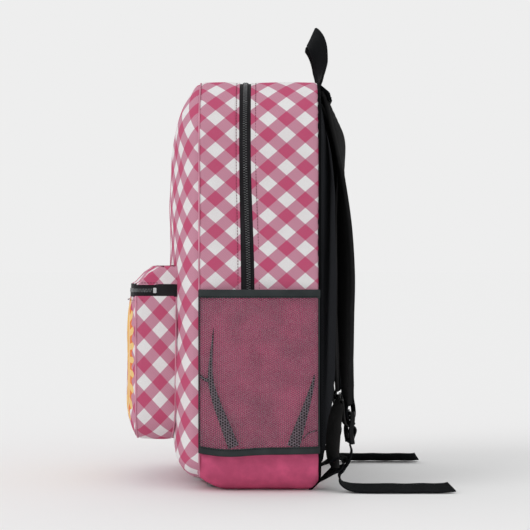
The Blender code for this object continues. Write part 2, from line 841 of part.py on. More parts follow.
def main():
    clear_scene()
    make_back()
    make_base()
    make_rear_gusset()
    make_lower_front()
    flap_y = front_y(0.0, FLAP_HINGE_Z)
    make_flap(pivot("flap_hinge", (0.0, flap_y, FLAP_HINGE_Z)))
    make_main_sliders()
    make_pocket()
    lid_y = front_y(0.0, POCKET_TOP_Z)
    make_pocket_lid(pivot("lid_hinge", (0.0, lid_y, POCKET_TOP_Z)))
    make_pocket_slider()
    make_handle(pivot("handle_hinge", (0.0, *HANDLE_HINGE)))
    for side, tag in ((1, "_R"), (-1, "_L")):
        make_sides(side, tag)
        mesh_hinge = pivot("mesh_hinge" + tag, (side * MESH_EDGE_X, 0.0, BASE_TOP))
        make_mesh_pocket(side, tag, mesh_hinge)
        make_strap(side, tag, pivot("strap_hinge" + tag, (0.0, *STRAP_HINGE)))
        make_ladder_lock(side, tag)
        make_adjuster(side, tag, pivot("adjuster_hinge" + tag, (0.0, *ANCHOR)))
        make_anchor(side, tag)
        make_tail(side, tag)


main()
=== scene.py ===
from math import atan, copysign, cos, exp, hypot, pi, radians, sin, sqrt

import bmesh
import bpy
import numpy as np
from mathutils import Matrix, Vector


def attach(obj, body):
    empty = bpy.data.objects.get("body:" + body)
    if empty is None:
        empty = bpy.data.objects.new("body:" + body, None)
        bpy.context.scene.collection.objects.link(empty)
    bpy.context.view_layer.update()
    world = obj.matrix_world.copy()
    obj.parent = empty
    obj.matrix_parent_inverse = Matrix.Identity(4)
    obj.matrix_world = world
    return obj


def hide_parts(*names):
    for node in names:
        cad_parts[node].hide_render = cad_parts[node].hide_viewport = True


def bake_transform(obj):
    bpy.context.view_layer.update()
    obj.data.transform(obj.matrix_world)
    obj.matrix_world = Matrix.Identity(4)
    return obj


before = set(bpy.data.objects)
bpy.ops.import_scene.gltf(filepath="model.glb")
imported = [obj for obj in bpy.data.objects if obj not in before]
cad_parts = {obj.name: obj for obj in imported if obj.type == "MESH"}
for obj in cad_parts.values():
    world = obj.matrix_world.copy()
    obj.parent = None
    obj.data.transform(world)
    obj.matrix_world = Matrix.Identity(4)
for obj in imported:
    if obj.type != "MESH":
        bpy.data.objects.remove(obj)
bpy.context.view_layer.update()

# The bag's sizes in metres, after the CAD model's.
WIDTH = 0.3
HEIGHT = 0.473
SEAM_FRONT = -0.044
SEAM_BACK = 0.093
TOP_RADIUS = 0.07
BASE_RADIUS = 0.036
FABRIC = 0.002
FRONT_BULGE = 0.0405
FRONT_REACH = 0.15
BACK_BULGE = 0.0195
BACK_REACH = 0.13
BACK_RIDGE = 0.0055
BACK_RIDGE_HALF = 0.055
BASE_TOP = 0.043
HEM_TOP = 0.053
MESH_TOP = 0.2215
ELASTIC_TOP = 0.231
ZIP_Y = 0.0082
ZIP_HALF = 0.0067
POCKET_HALF = 0.11
POCKET_Z0 = 0.057
POCKET_RADIUS = 0.034
POCKET_EDGE_Y = -0.1185
POCKET_BULGE = 0.0168
POCKET_ZIP_Z = 0.2295
POCKET_ZIP_HALF = 0.0073
POCKET_TOP_Z = 0.2575
LID_Z0 = 0.2374
STOP_Y = -0.0968
MESH_EDGE_X = 0.1512
MESH_BULGE = 0.011
WEB = 0.025
STRAP_THICK = 0.008
LOCK = (0.128, 0.128, 0.073)
LOCK_SIZE = (0.036, 0.0056, 0.038)
CORNER_LIFT = 0.0134
ZIP_DRIFT = 0.0042
FRONT_DRIFT = 0.5
# How much of the gusset's cloth is eased in round the top corners.
EASED = 0.64
# How far the rows of stitches are from the zipper, in front of it and behind it.
FRONT_STITCH = 0.0032
REAR_STITCH = 0.0054
TOPSTITCH = 0.0007
TOOTH = (0.00105, 0.0014)
SIDES = ((1.0, "_R"), (-1.0, "_L"))

# Two directions that sections are laid along.
TO_BACK = (0.0, 1.0, 0.0)
UP = (0.0, 0.0, 1.0)

# Linear colours.
WHITE = (0.8, 0.8, 0.8)
MID_PINK = (0.555, 0.262, 0.35)
DARK_PINK = (0.52, 0.076, 0.168)
PLAIN_PINK = (0.59, 0.098, 0.205)
BLACK_CLOTH = (0.0032, 0.0036, 0.0042)
WEB_BLACK = (0.0036, 0.004, 0.0046)
BINDING = (0.032, 0.038, 0.039)
ZIP_BLACK = (0.015, 0.014, 0.016)
LINING = (0.075, 0.075, 0.08)
THREAD = (0.15, 0.04, 0.065)


# ---- materials


class Finish:
    """A Principled material with short calls for the maths of a weave."""

    def __init__(self, name, color, roughness, metallic=0.0, specular=0.3):
        self.mat = bpy.data.materials.new(name)
        self.mat.use_nodes = True
        self.tree = self.mat.node_tree
        self.shader = self.tree.nodes["Principled BSDF"]
        values = {
            "Base Color": color, "Roughness": roughness, "Metallic": metallic,
            "Specular IOR Level": specular
        }
        for name, value in values.items():
            self.put(self.shader.inputs[name], value)

    def node(self, kind):
        return self.tree.nodes.new("ShaderNode" + kind)

    def put(self, socket, value):
        if isinstance(value, bpy.types.NodeSocket):
            self.tree.links.new(value, socket)
        elif isinstance(value, tuple):
            socket.default_value = (*value, 1.0)
        else:
            socket.default_value = value

    def m(self, operation, *values):
        node = self.node("Math")
        node.operation = operation
        for socket, value in zip(node.inputs, values):
            self.put(socket, value)
        return node.outputs[0]

    def cloth(self):
        """The two coordinates of the flat cloth, in metres."""
        node = self.node("Attribute")
        node.attribute_name = "cloth"
        split = self.node("SeparateXYZ")
        self.put(split.inputs[0], node.outputs["Vector"])
        return node.outputs["Vector"], split.outputs[0], split.outputs[1]

    def noise(self, scale, detail=3.0, vector=None):
        node = self.node("TexNoise")
        node.inputs["Scale"].default_value = scale
        node.inputs["Detail"].default_value = detail
        self.put(node.inputs["Vector"], vector or self.node("TexCoord").outputs["Object"])
        return node.outputs["Fac"]

    def step(self, value, low, high, a=0.0, b=1.0):
        """Smoothly from a at low to b at high."""
        node = self.node("MapRange")
        node.interpolation_type = "SMOOTHSTEP"
        for socket, number in zip(node.inputs, (value, low, high, a, b)):
            self.put(socket, number)
        return node.outputs[0]

    def mix(self, factor, a, b):
        node = self.node("Mix")
        node.data_type = "RGBA"
        for socket, value in zip((node.inputs["Factor"], node.inputs[6], node.inputs[7]), (factor, a, b)):
            self.put(socket, value)
        return node.outputs[2]

    def wave(self, value, pitch, phase=0.0):
        """A sine of that pitch, from 0 to 1."""
        turn = self.m("MULTIPLY_ADD", value, 2 * pi / pitch, phase)
        return self.m("MULTIPLY_ADD", self.m("SINE", turn), 0.5, 0.5)

    def color(self, value):
        self.put(self.shader.inputs["Base Color"], value)

    def rough(self, value, low, high):
        self.put(self.shader.inputs["Roughness"], self.step(value, 0.0, 1.0, low, high))

    def bump(self, height, strength, distance):
        node = self.node("Bump")
        for name, value in (("Strength", strength), ("Distance", distance), ("Height", height)):
            self.put(node.inputs[name], value)
        self.put(self.shader.inputs["Normal"], node.outputs[0])


def times(color, factor):
    return tuple(c * factor for c in color)


def weave(f, u, v, pitch):
    """The height of a plain weave."""
    over = f.m("MULTIPLY", f.wave(u, pitch), f.wave(v, pitch))
    under = f.m("MULTIPLY", f.wave(u, pitch, pi), f.wave(v, pitch, pi))
    return f.m("ADD", over, under)


def gingham(name, spacing, middle, extra=None):
    """Checks that lie at 45 degrees; middle is the middle of one dark check."""
    f = Finish(name, MID_PINK, 0.86, specular=0.12)
    vector, u, v = f.cloth()
    across = f.m("DIVIDE", f.m("SUBTRACT", u, middle[0]), spacing[0])
    along = f.m("DIVIDE", f.m("SUBTRACT", v, middle[1]), spacing[1])
    bands = []
    for operation in ("ADD", "SUBTRACT"):
        swing = f.m("PINGPONG", f.m(operation, across, along), 0.5)
        bands.append(f.step(swing, 0.238, 0.262, 1.0, 0.0))
    # The single bands are printed as fine slanting lines.
    hatch = f.wave(f.m("ADD", u, v), 0.0019)
    half = f.mix(f.m("MULTIPLY", hatch, 0.62), (0.48, 0.2, 0.285), (0.72, 0.38, 0.47))
    light = f.mix(bands[0], WHITE, half)
    deep = f.mix(bands[0], half, DARK_PINK)
    tone = f.mix(bands[1], light, deep)
    if extra:
        tone = extra(f, u, v, tone)
    patches = f.noise(45.0, 4.0)
    shade = f.m("MULTIPLY", f.step(patches, 0.3, 0.7), 0.08)
    threads = weave(f, u, v, 0.0009)
    slub = f.noise(900.0, 2.0, vector)
    shade = f.m("MULTIPLY_ADD", f.step(slub, 0.4, 0.6), 0.09, shade)
    f.color(f.mix(shade, tone, (0.42, 0.2, 0.26)))
    f.rough(slub, 0.78, 0.93)
    f.bump(f.m("ADD", threads, f.m("MULTIPLY", patches, 1.6)), 0.35, 0.0003)
    return f.mat


def printed_medallions(f, u, v, tone):
    """A plain ring of petals with a disc in its middle, printed over the pocket's checks."""
    cream, orange, yellow = (0.86, 0.62, 0.34), (0.8, 0.2, 0.04), (0.86, 0.47, 0.07)
    dx = f.m("DIVIDE", u, 0.106)
    dz = f.m("DIVIDE", f.m("SUBTRACT", v, 0.148), 0.083)
    reach = f.m("POWER", f.m("ADD", f.m("POWER", dx, 4.0), f.m("POWER", dz, 4.0)), 0.25)
    petals = f.m("COSINE", f.m("MULTIPLY", f.m("ARCTAN2", dz, dx), 30.0))
    edge = f.m("MULTIPLY_ADD", petals, 0.035, 0.95)
    inside = f.step(f.m("SUBTRACT", edge, reach), 0.0, 0.015)
    hole = f.step(f.m("SUBTRACT", reach, f.m("MULTIPLY_ADD", petals, -0.025, 0.62)), 0.0, 0.015)
    stripes = f.step(f.m("PINGPONG", reach, 0.055), 0.022, 0.03)
    band = f.mix(stripes, yellow, cream)
    tips = f.mix(f.step(petals, -0.1, 0.3), orange, (0.86, 0.6, 0.22))
    band = f.mix(f.step(reach, 0.83, 0.85), band, tips)
    tone = f.mix(f.m("MULTIPLY", inside, hole), tone, band)
    disc = f.step(reach, 0.3, 0.32, 1.0, 0.0)
    rings = f.step(f.m("PINGPONG", reach, 0.08), 0.035, 0.045)
    return f.mix(disc, tone, f.mix(rings, orange, cream))


def plain_cloth(name, color, pitch=0.001, roughness=(0.78, 0.92), specular=0.1):
    f = Finish(name, color, 0.86, specular=specular)
    vector, u, v = f.cloth()
    patches = f.noise(38.0, 4.0)
    lighter = tuple(min(1.0, c * 1.22) for c in color)
    darker = times(color, 0.8)
    threads = weave(f, u, v, pitch)
    tone = f.mix(f.step(patches, 0.3, 0.7), darker, lighter)
    f.color(f.mix(f.m("MULTIPLY", threads, 0.25), tone, lighter))
    f.rough(f.noise(700.0, 2.0, vector), *roughness)
    f.bump(f.m("ADD", threads, f.m("MULTIPLY", patches, 2.0)), 0.45, 0.0003)
    return f.mat


def webbing_cloth(name, color):
    """Ribbed webbing: chevrons that run along it, with two firm edges."""
    f = Finish(name, color, 0.75, specular=0.05)
    vector, u, v = f.cloth()
    chevron = f.m("PINGPONG", u, 0.0031)
    ribs = f.wave(f.m("ADD", v, chevron), 0.0016)
    seam = f.wave(u, 0.0062)
    height = f.m("MULTIPLY_ADD", seam, 0.5, ribs)
    tone = f.mix(f.m("MULTIPLY", ribs, 0.8), color, times(color, 2.1))
    worn = f.step(f.noise(60.0, 4.0), 0.45, 0.75)
    f.color(f.mix(f.m("MULTIPLY", worn, 0.5), tone, times(color, 2.4)))
    f.rough(f.noise(500.0, 2.0, vector), 0.62, 0.86)
    f.bump(height, 0.6, 0.0005)
    return f.mat


def lattice(f, u, v, pitch):
    """High in the holes of a hexagonal mesh and low on its yarns."""
    turn = 2 * pi / (pitch * 0.866)
    waves = []
    for cosine, sine in ((1.0, 0.0), (0.5, 0.866), (0.5, -0.866)):
        along = f.m("MULTIPLY_ADD", v, sine, f.m("MULTIPLY", u, cosine))
        waves.append(f.m("COSINE", f.m("MULTIPLY", along, turn)))
    return f.m("ADD", waves[0], f.m("ADD", waves[1], waves[2]))


def air_mesh(name, color, specular=0.0):
    """Padded spacer mesh with small round dimples, which are painted dark as painted shade."""
    f = Finish(name, color, 0.82, specular=specular)
    vector, u, v = f.cloth()
    holes = f.step(lattice(f, u, v, 0.003), -0.4, 1.8)
    light = times(color, 2.3)
    # Painted shade: the dimples get a fifth of the colour, and the faces between them are painted lighter.
    f.color(f.mix(holes, light, times(color, 0.2)))
    f.rough(f.noise(400.0, 2.0, vector), 0.68, 0.9)
    f.bump(f.m("SUBTRACT", 1.0, holes), 0.8, 0.0008)
    return f.mat


def open_mesh(name, color, cover, pitch=0.0025, hole=None):
    """Knitted mesh that shows what is behind it through its holes; given a hole colour, it paints its holes
    that colour instead, as painted shade.
    """
    f = Finish(name, color, 0.8, specular=0.2)
    vector, u, v = f.cloth()
    holes = lattice(f, u, v, pitch)
    tone = f.mix(f.step(f.noise(300.0, 3.0, vector), 0.3, 0.7), color, times(color, 1.7))
    # With a hole colour, the holes are coloured it: painted shade.
    f.color(f.mix(f.step(holes, -0.6, 0.6), tone, hole) if hole else tone)
    drift = f.m("MULTIPLY", f.step(f.noise(26.0, 3.0), 0.35, 0.65), 0.03)
    see = f.step(holes, -1.4, 0.5, cover[1], cover[0])
    f.put(f.shader.inputs["Alpha"], f.m("ADD", see, drift))
    f.bump(f.m("MULTIPLY", holes, -1.0), 0.5, 0.0004)
    return f.mat


def moulded(name, color, roughness=(0.34, 0.5), specular=0.45):
    f = Finish(name, color, 0.42, specular=specular)
    grain = f.noise(1500.0, 3.0)
    wear = f.step(f.noise(90.0, 4.0), 0.5, 0.8)
    f.color(f.mix(f.m("MULTIPLY", wear, 0.4), color, times(color, 2.2)))
    f.rough(wear, *roughness)
    f.bump(grain, 0.25, 0.0001)
    return f.mat


def nickel(name, color):
    f = Finish(name, color, 0.3, metallic=1.0, specular=0.5)
    scratches = f.noise(420.0, 5.0)
    f.color(f.mix(f.step(f.noise(160.0, 4.0), 0.4, 0.75), color, times(color, 0.72)))
    f.rough(scratches, 0.24, 0.42)
    f.bump(scratches, 0.15, 0.0001)
    return f.mat


# Same-colour checks repeat at these distances across and up each piece of cloth.
SIDE_CHECKS = (0.0424, 0.0369)
FRONT_CHECKS = (0.044, 0.0446)
POCKET_CHECKS = (0.0372, 0.0404)

MATERIALS = {
    "side_rear": gingham("gingham_side_rear", SIDE_CHECKS, (0.0344, 0.4439)),
    "side_front": gingham("gingham_side_front", SIDE_CHECKS, (-0.0253, 0.4081)),
    "front": gingham("gingham_front", FRONT_CHECKS, (0.163, 0.2259)),
    "pocket_side": gingham("gingham_pocket_side", POCKET_CHECKS, (-0.0906, 0.204)),
    "pocket_front": gingham("gingham_pocket_front", FRONT_CHECKS, (0.0, 0.204), printed_medallions),
    "pocket_lid": gingham("gingham_pocket_lid", POCKET_CHECKS, (-0.101, 0.243)),
    "pink": plain_cloth("pink_cloth", PLAIN_PINK),
    "binding": plain_cloth("grey_binding", BINDING, 0.0012),
    "black": plain_cloth("black_cloth", BLACK_CLOTH, 0.0011, specular=0.04),
    "lining": plain_cloth("grey_lining", LINING, 0.0008),
    "webbing": webbing_cloth("black_webbing", WEB_BLACK),
    "tape": plain_cloth("zipper_tape", ZIP_BLACK, 0.0013, (0.55, 0.75)),
    # The coil is coloured light grey, far lighter than its black tape: painted glints along the dark teeth.
    "coil": moulded("zipper_coil", (0.12, 0.123, 0.128), (0.22, 0.36), specular=0.6),
    "air": air_mesh("black_air_mesh", (0.0125, 0.013, 0.0145)),
    "strap": air_mesh("strap_air_mesh", (0.0078, 0.0078, 0.008), specular=0.02),
    "strap_edge": webbing_cloth("strap_binding", (0.0085, 0.0085, 0.0088)),
    # The adjuster webbing is a lighter copy of the black webbing: painted light for its lit face.
    "adjuster": webbing_cloth("adjuster_webbing", (0.014, 0.0138, 0.0138)),
    "mesh": open_mesh("grey_mesh", (0.13, 0.122, 0.138), (0.03, 0.46)),
    # The pleats' holes are painted near black: painted shade inside the folds, over two layers of mesh.
    "pleat": open_mesh("grey_mesh_double_shaded", (0.12, 0.1, 0.115), (0.76, 0.86), 0.0029, (0.012, 0.011, 0.013)),
    "thread": plain_cloth("pink_thread", THREAD, 0.0004),
    "seam": plain_cloth("pink_seam", (0.6, 0.27, 0.36), 0.0006),
    "dark_thread": plain_cloth("black_thread", (0.008, 0.0085, 0.009), 0.0004, specular=0.05),
    "nickel": nickel("nickel", (0.62, 0.62, 0.63)),
    "plastic": moulded("black_plastic", (0.0036, 0.0038, 0.0042), specular=0.14),
    "board": plain_cloth("base_board", (0.16, 0.16, 0.165), 0.0012),
}


# ---- mesh tools


def mix(a, b, t):
    return a + (b - a) * t


def clamp(t):
    return min(max(t, 0.0), 1.0)


def hump(t):
    """Nought at both ends and one in the middle."""
    return sin(pi * t)


def rise(t, power):
    return 1.0 - (1.0 - clamp(t)) ** power


def ease(t):
    t = clamp(t)
    return t * t * (3 - 2 * t)


def bell(x, middle, width):
    return exp(-(((x - middle) / width) ** 2))


def smooth_line(points, count):
    """Points all along the smooth curve through the given ones."""
    return [smooth_through(points, t) for t in np.linspace(0, 1, count)]


def smooth_through(points, t):
    """A point on a smooth curve through the given points, for t from 0 to 1."""
    spans = len(points) - 1
    i = min(int(t * spans), spans - 1)
    f = t * spans - i
    p1, p2 = Vector(points[i]), Vector(points[i + 1])
    p0 = Vector(points[i - 1]) if i else p1 * 2 - p2
    p3 = Vector(points[i + 2]) if i + 2 <= spans else p2 * 2 - p1
    return 0.5 * (
        2 * p1
        + (p2 - p0) * f
        + (2 * p0 - 5 * p1 + 4 * p2 - p3) * f * f
        + (3 * p1 - p0 - 3 * p2 + p3) * f * f * f
    )


def grid(place, across, along):
    return np.array(
        [[tuple(place(i / across, j / along)) for j in range(along + 1)] for i in range(across + 1)], float
    )


def unit(vectors):
    return vectors / np.maximum(np.linalg.norm(vectors, axis=-1, keepdims=True), 1e-12)


def flat(a, b):
    """Cloth coordinates from two sets of numbers, either of which may repeat."""
    return np.stack(np.broadcast_arrays(a, b), -1)


def new_object(name, data):
    obj = bpy.data.objects.new(name, data)
    bpy.context.scene.collection.objects.link(obj)
    return obj


def build(name, verts, faces, cloth, mats, face_mats=None, sharp=40.0):
    """A mesh piece with its cloth coordinates, its materials and faces that look out."""
    mesh = bpy.data.meshes.new(name)
    mesh.from_pydata([tuple(v) for v in np.asarray(verts, float).reshape(-1, 3)], [], faces)
    for mat in mats:
        mesh.materials.append(MATERIALS[mat])
    if face_mats is not None:
        mesh.polygons.foreach_set("material_index", np.asarray(face_mats, np.int32))
    layer = mesh.attributes.new("cloth", "FLOAT_VECTOR", "POINT")
    vectors = np.zeros((len(mesh.vertices), 3), np.float32)
    vectors[:, :2] = np.asarray(cloth, np.float32).reshape(-1, 2)
    layer.data.foreach_set("vector", vectors.ravel())
    bm = bmesh.new()
    bm.from_mesh(mesh)
    bmesh.ops.recalc_face_normals(bm, faces=bm.faces)
    bm.to_mesh(mesh)
    bm.free()
    mesh.shade_smooth()
    mesh.set_sharp_from_angle(angle=radians(sharp))
    return new_object(name, mesh)


def skin(name, outer, cloth, mats, thick=FABRIC, inner=None, out=1.0):
    """A closed sheet between an outer grid of points and an inner one behind it."""
    n, m = outer.shape[:2]
    if inner is None:
        normal = unit(np.cross(np.gradient(outer, axis=0), np.gradient(outer, axis=1)))
        inner = outer - out * normal * thick
    index = np.arange(n * m).reshape(n, m)
    a, b, c, d = index[:-1, :-1], index[1:, :-1], index[1:, 1:], index[:-1, 1:]
    front = np.stack([a, b, c, d], -1).reshape(-1, 4)
    back = front[:, ::-1] + n * m
    rim = np.concatenate([index[:, 0], index[-1, 1:], index[-2::-1, -1], index[0, -2:0:-1]])
    after = np.roll(rim, -1)
    sides = np.stack([after, rim, rim + n * m, after + n * m], -1)
    faces = np.concatenate([front, back, sides]).tolist()
    which = [0] * len(front) + [len(mats) - 1] * len(back) + [0] * len(sides)
    verts = np.concatenate([outer.reshape(-1, 3), inner.reshape(-1, 3)])
    return build(name, verts, faces, np.concatenate([cloth.reshape(-1, 2)] * 2), mats, which)


def lengths(points, axis=0):
    """How far along the cloth each point of a line or a grid is."""
    steps = np.linalg.norm(np.diff(points, axis=axis), axis=-1)
    start = np.zeros_like(np.take(steps, [0], axis=axis))
    return np.concatenate([start, np.cumsum(steps, axis=axis)], axis=axis)


def tube_faces(rings, sides, closed=False):
    """The faces of a tube, capped at both ends unless the ends meet."""
    index = np.arange(rings * sides).reshape(rings, sides)
    low, high = (index, np.roll(index, -1, 0)) if closed else (index[:-1], index[1:])
    faces = np.stack([low, high, np.roll(high, -1, 1), np.roll(low, -1, 1)], -1).reshape(-1, 4).tolist()
    return faces if closed else faces + [index[0].tolist(), index[-1][::-1].tolist()]


def carried(path, side, out, across, section):
    """The rings of points of a section carried along a path."""
    return path[:, None] + side[:, None] * across[..., None] + out[:, None] * section[None, :, 1, None]


def sweep(name, path, across, section, mat, closed=False, widths=1.0, sharp=40.0):
    """A section of (across, out) points carried along a path; across gives its first axis."""
    path, section = np.asarray(path, float), np.asarray(section, float)
    across = np.broadcast_to(np.asarray(across, float), path.shape)
    if closed:
        tangent = unit(np.roll(path, -1, 0) - np.roll(path, 1, 0))
    else:
        tangent = unit(np.gradient(path, axis=0))
    side = unit(across - tangent * (across * tangent).sum(-1, keepdims=True))
    out = np.cross(tangent, side)
    a = section[None, :, 0] * np.broadcast_to(widths, len(path))[:, None]
    verts = carried(path, side, out, a, section)
    cloth = flat(a, lengths(path)[:, None])
    return build(name, verts, tube_faces(*a.shape, closed), cloth, (mat,), sharp=sharp)


def flat_section(width, thick, edge=0.0005, points=5):
    """A webbing's section, with softly rounded edges."""
    half, t = width / 2, thick / 2
    top = [(x, t) for x in np.linspace(-half + edge, half - edge, points)]
    low = [(x, -t) for x in np.linspace(half - edge, -half + edge, points)]
    return [*top, (half, t * 0.4), (half, -t * 0.4), *low, (-half, -t * 0.4), (-half, t * 0.4)]


def round_section(radius, sides=8, wider=1.0, taller=1.0):
    turns = [2 * pi * i / sides for i in range(sides)]
    return [(radius * cos(turn) * wider, radius * sin(turn) * taller) for turn in turns]


def beads(name, middles, along, out, length, wide, tall, mat):
    """Many small rounded bars, such as stitches or zipper teeth, as one piece."""
    middles, out = np.asarray(middles, float), np.asarray(out, float)
    along = np.broadcast_to(unit(np.asarray(along, float)), middles.shape)
    side = unit(np.cross(along, out))
    out = np.cross(side, along)
    ring = [(cos(pi * k / 3), sin(pi * k / 3)) for k in range(6)]
    verts, cloth = [], []
    stations = [(-0.5, 0.0), (-0.4, 0.75), (-0.22, 1.0), (0.22, 1.0), (0.4, 0.75), (0.5, 0.0)]
    for s, r in stations:
        for ca, sa in ring if r else [(0.0, 0.0)]:
            verts.append(middles + along * length * s + side * wide * r * ca / 2 + out * tall * r * sa / 2)
            cloth.append((wide * ca / 2, length * s))
    per = len(verts)
    faces = []
    for k in range(6):
        j = (k + 1) % 6
        faces += [(0, 1 + j, 1 + k), (per - 1, per - 7 + k, per - 7 + j)]
        for ringno in range(3):
            a = 1 + ringno * 6
            faces.append((a + k, a + j, a + 6 + j, a + 6 + k))
    verts = np.stack(verts, 1)
    n = len(middles)
    all_faces = [tuple(i + base for i in face) for base in range(0, n * per, per) for face in faces]
    return build(name, verts, all_faces, np.tile(np.array(cloth), (n, 1)), (mat,), sharp=80.0)


def between(at, run, values):
    """Vectors read off a line, at distances along it."""
    return np.stack([np.interp(at, run, values[:, k]) for k in range(3)], 1)


def resample(points, pitch, phase=0.0):
    """Evenly spaced points on a polyline, with their directions and how far along they are."""
    points = np.asarray(points, float)
    run = lengths(points)
    at = np.arange(pitch * (0.5 + phase), run[-1] - pitch * 0.4, pitch)
    return between(at, run, points), between(at, run, unit(np.gradient(points, axis=0))), at


def stitches(name, points, out, mat="thread", pitch=0.0034, length=0.0026, size=0.0006):
    """A row of stitches along a line; out is one direction or one for each point."""
    points = np.asarray(points, float)
    outs = np.broadcast_to(np.asarray(out, float), points.shape)
    spots, along, at = resample(points, pitch)
    return beads(name, spots, along, between(at, lengths(points), outs), length, size, size, mat)


def finish_piece(obj, body=None, nodes=(), bend=None):
    """Puts a piece on its body, or for a piece across a joint bakes its transform and leaves it unparented,
    and hides the CAD nodes it stands for.
    """
    if bend:
        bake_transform(obj)
    else:
        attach(obj, body)
    if nodes:
        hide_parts(*nodes)


# ---- the bag's own shape


def narrowed(half, radius, past, inset=0.0):
    """Half the width of a rounded outline, at a height past the start of its corner."""
    return half - radius + sqrt(max((radius - inset) ** 2 - past**2, 0.0))


def half_width(z, inset=0.0):
    if z > HEIGHT - TOP_RADIUS:
        return narrowed(WIDTH / 2, TOP_RADIUS, z - HEIGHT + TOP_RADIUS, inset)
    if z < BASE_RADIUS:
        return narrowed(WIDTH / 2, BASE_RADIUS, BASE_RADIUS - z, inset)
    return WIDTH / 2 - inset


def arch(t, half, radius, start, end, inset=0.0):
    """A point (x, z) and the outward direction on a line with two rounded corners.

    It runs from the height start on the right wall to the height end at the
    middle and back down or up the left wall, for t from 0 to 1.
    """
    way = copysign(1.0, end - start)
    straight = abs(end - start) - radius
    corner = radius * pi / 2
    flat_part = half - radius
    side = 1.0 if t <= 0.5 else -1.0
    run = min(t, 1.0 - t) * 2 * (straight + corner + flat_part)
    if run <= straight:
        return (side * (half - inset), start + way * run), (side, 0.0)
    if run <= straight + corner:
        angle = (run - straight) / radius
        cosine, sine = cos(angle), sin(angle)
        x = side * (flat_part + (radius - inset) * cosine)
        return (x, end - way * (radius - (radius - inset) * sine)), (side * cosine, way * sine)
    return (side * (flat_part - (run - straight - corner)), end - way * inset), (0.0, way)


def panel_point(u, v, low, inset):
    """A place (x, z) inside the bag's outline, closer together towards its edges."""
    z = mix(low, HEIGHT - inset, 0.5 - 0.5 * cos(pi * v))
    return half_width(z, inset) * sin((u - 0.5) * pi), z


def edge_distance(x, z):
    radius = TOP_RADIUS if z > HEIGHT / 2 else BASE_RADIUS
    qx = abs(x) - (WIDTH / 2 - radius)
    qz = abs(z - HEIGHT / 2) - (HEIGHT / 2 - radius)
    return radius - hypot(max(qx, 0.0), max(qz, 0.0)) - min(max(qx, qz), 0.0)


def front_y(x, z):
    lift = rise(edge_distance(x, z) / FRONT_REACH, 2.2)
    return SEAM_FRONT - FRONT_BULGE * lift ** mix(0.45, 0.7, z / HEIGHT)


def back_y(x, z):
    ridge = max(1.0 - (x / BACK_RIDGE_HALF) ** 2, 0.0) ** 2
    ridge *= ease((z - 0.03) / 0.06) * ease((0.455 - z) / 0.06)
    return SEAM_BACK + BACK_BULGE * rise(edge_distance(x, z) / BACK_REACH, 1.3) + BACK_RIDGE * ridge


def side_line(t, z0, inset=0.0):
    """The gusset's line from z0 on the right, over the top, to z0 on the left."""
    return arch(t, WIDTH / 2, TOP_RADIUS, z0, HEIGHT, inset)


def base_line(t, inset=0.0):
    return arch(t, WIDTH / 2, BASE_RADIUS, BASE_TOP, 0.0, inset)


def side_length(z0):
    return 2 * (HEIGHT - TOP_RADIUS - z0 + TOP_RADIUS * pi / 2 + WIDTH / 2 - TOP_RADIUS)


def gusset_run(t, z0):
    """How far up the gusset's cloth a point is: the cloth is eased in round the corners."""
    straight = HEIGHT - TOP_RADIUS - z0
    run = min(t, 1.0 - t) * side_length(z0)
    angle = min(max(run - straight, 0.0) / TOP_RADIUS, pi / 2)
    up = z0 + min(run, straight) + TOP_RADIUS * (EASED * sin(angle) + (1.0 - EASED) * angle)
    up += max(run - straight - TOP_RADIUS * pi / 2, 0.0)
    round_corner = TOP_RADIUS * (EASED + (1.0 - EASED) * pi / 2)
    top = HEIGHT - TOP_RADIUS + round_corner + WIDTH / 2 - TOP_RADIUS
    return up if t <= 0.5 else 2 * top - up


def settle(x, y, z):
    """Lifts the soft lower corners off the floor at the front, and a little at the back."""
    if z >= BASE_TOP:
        return x, y, z
    corner = ease((abs(x) - 0.02) / 0.1)
    front = CORNER_LIFT * clamp((-0.012 - y) / 0.032) ** 1.8 * corner
    back = 0.009 * clamp((y - 0.082) / 0.011) ** 2
    return x, y, z + (front + back) * (1.0 - max(z, 0.0) / BASE_TOP)


def zip_shift(z):
    """The zipper runs a little towards the back at its lower ends."""
    return ZIP_DRIFT * ease((0.395 - z) / 0.165)


FLAP_BEND = ("bag", "front_flap", (0.0, 0.0, 0.24), (0.0, 0.0, 0.33))


# ---- front, gusset and base


def make_front():
    inset = 0.0012

    def place(u, v):
        x, z = panel_point(u, v, 0.0008, inset)
        y = front_y(x, z)
        inside = min(1.0, edge_distance(x, z) / 0.03)
        slack = 0.0007 * sin(z * 61 + 3 * x) + 0.0005 * sin(x * 83 + z * 40)
        y = mix(SEAM_FRONT - 0.0002, y - slack * inside, ease((edge_distance(x, z) - inset) / 0.0016))
        return settle(x, y, z)

    outer = grid(place, 72, 84)
    u = lengths(outer, 0)
    u = u - u[36:37]
    v = lengths(outer, 1)[36:37] + outer[0, 0, 2]
    cloth = flat(u, v + 0.006)
    inner = outer * (0.985, 1.0, 1.0) + (0.0, 0.0022, 0.0)
    inner[..., 2] = mix(inner[..., 2], HEIGHT / 2, 0.012)
    piece = skin("front_cloth", outer, cloth, ("front", "lining"), inner=inner)
    finish_piece(piece, nodes=("front_panel_lower", "front_panel_upper"), bend=FLAP_BEND)


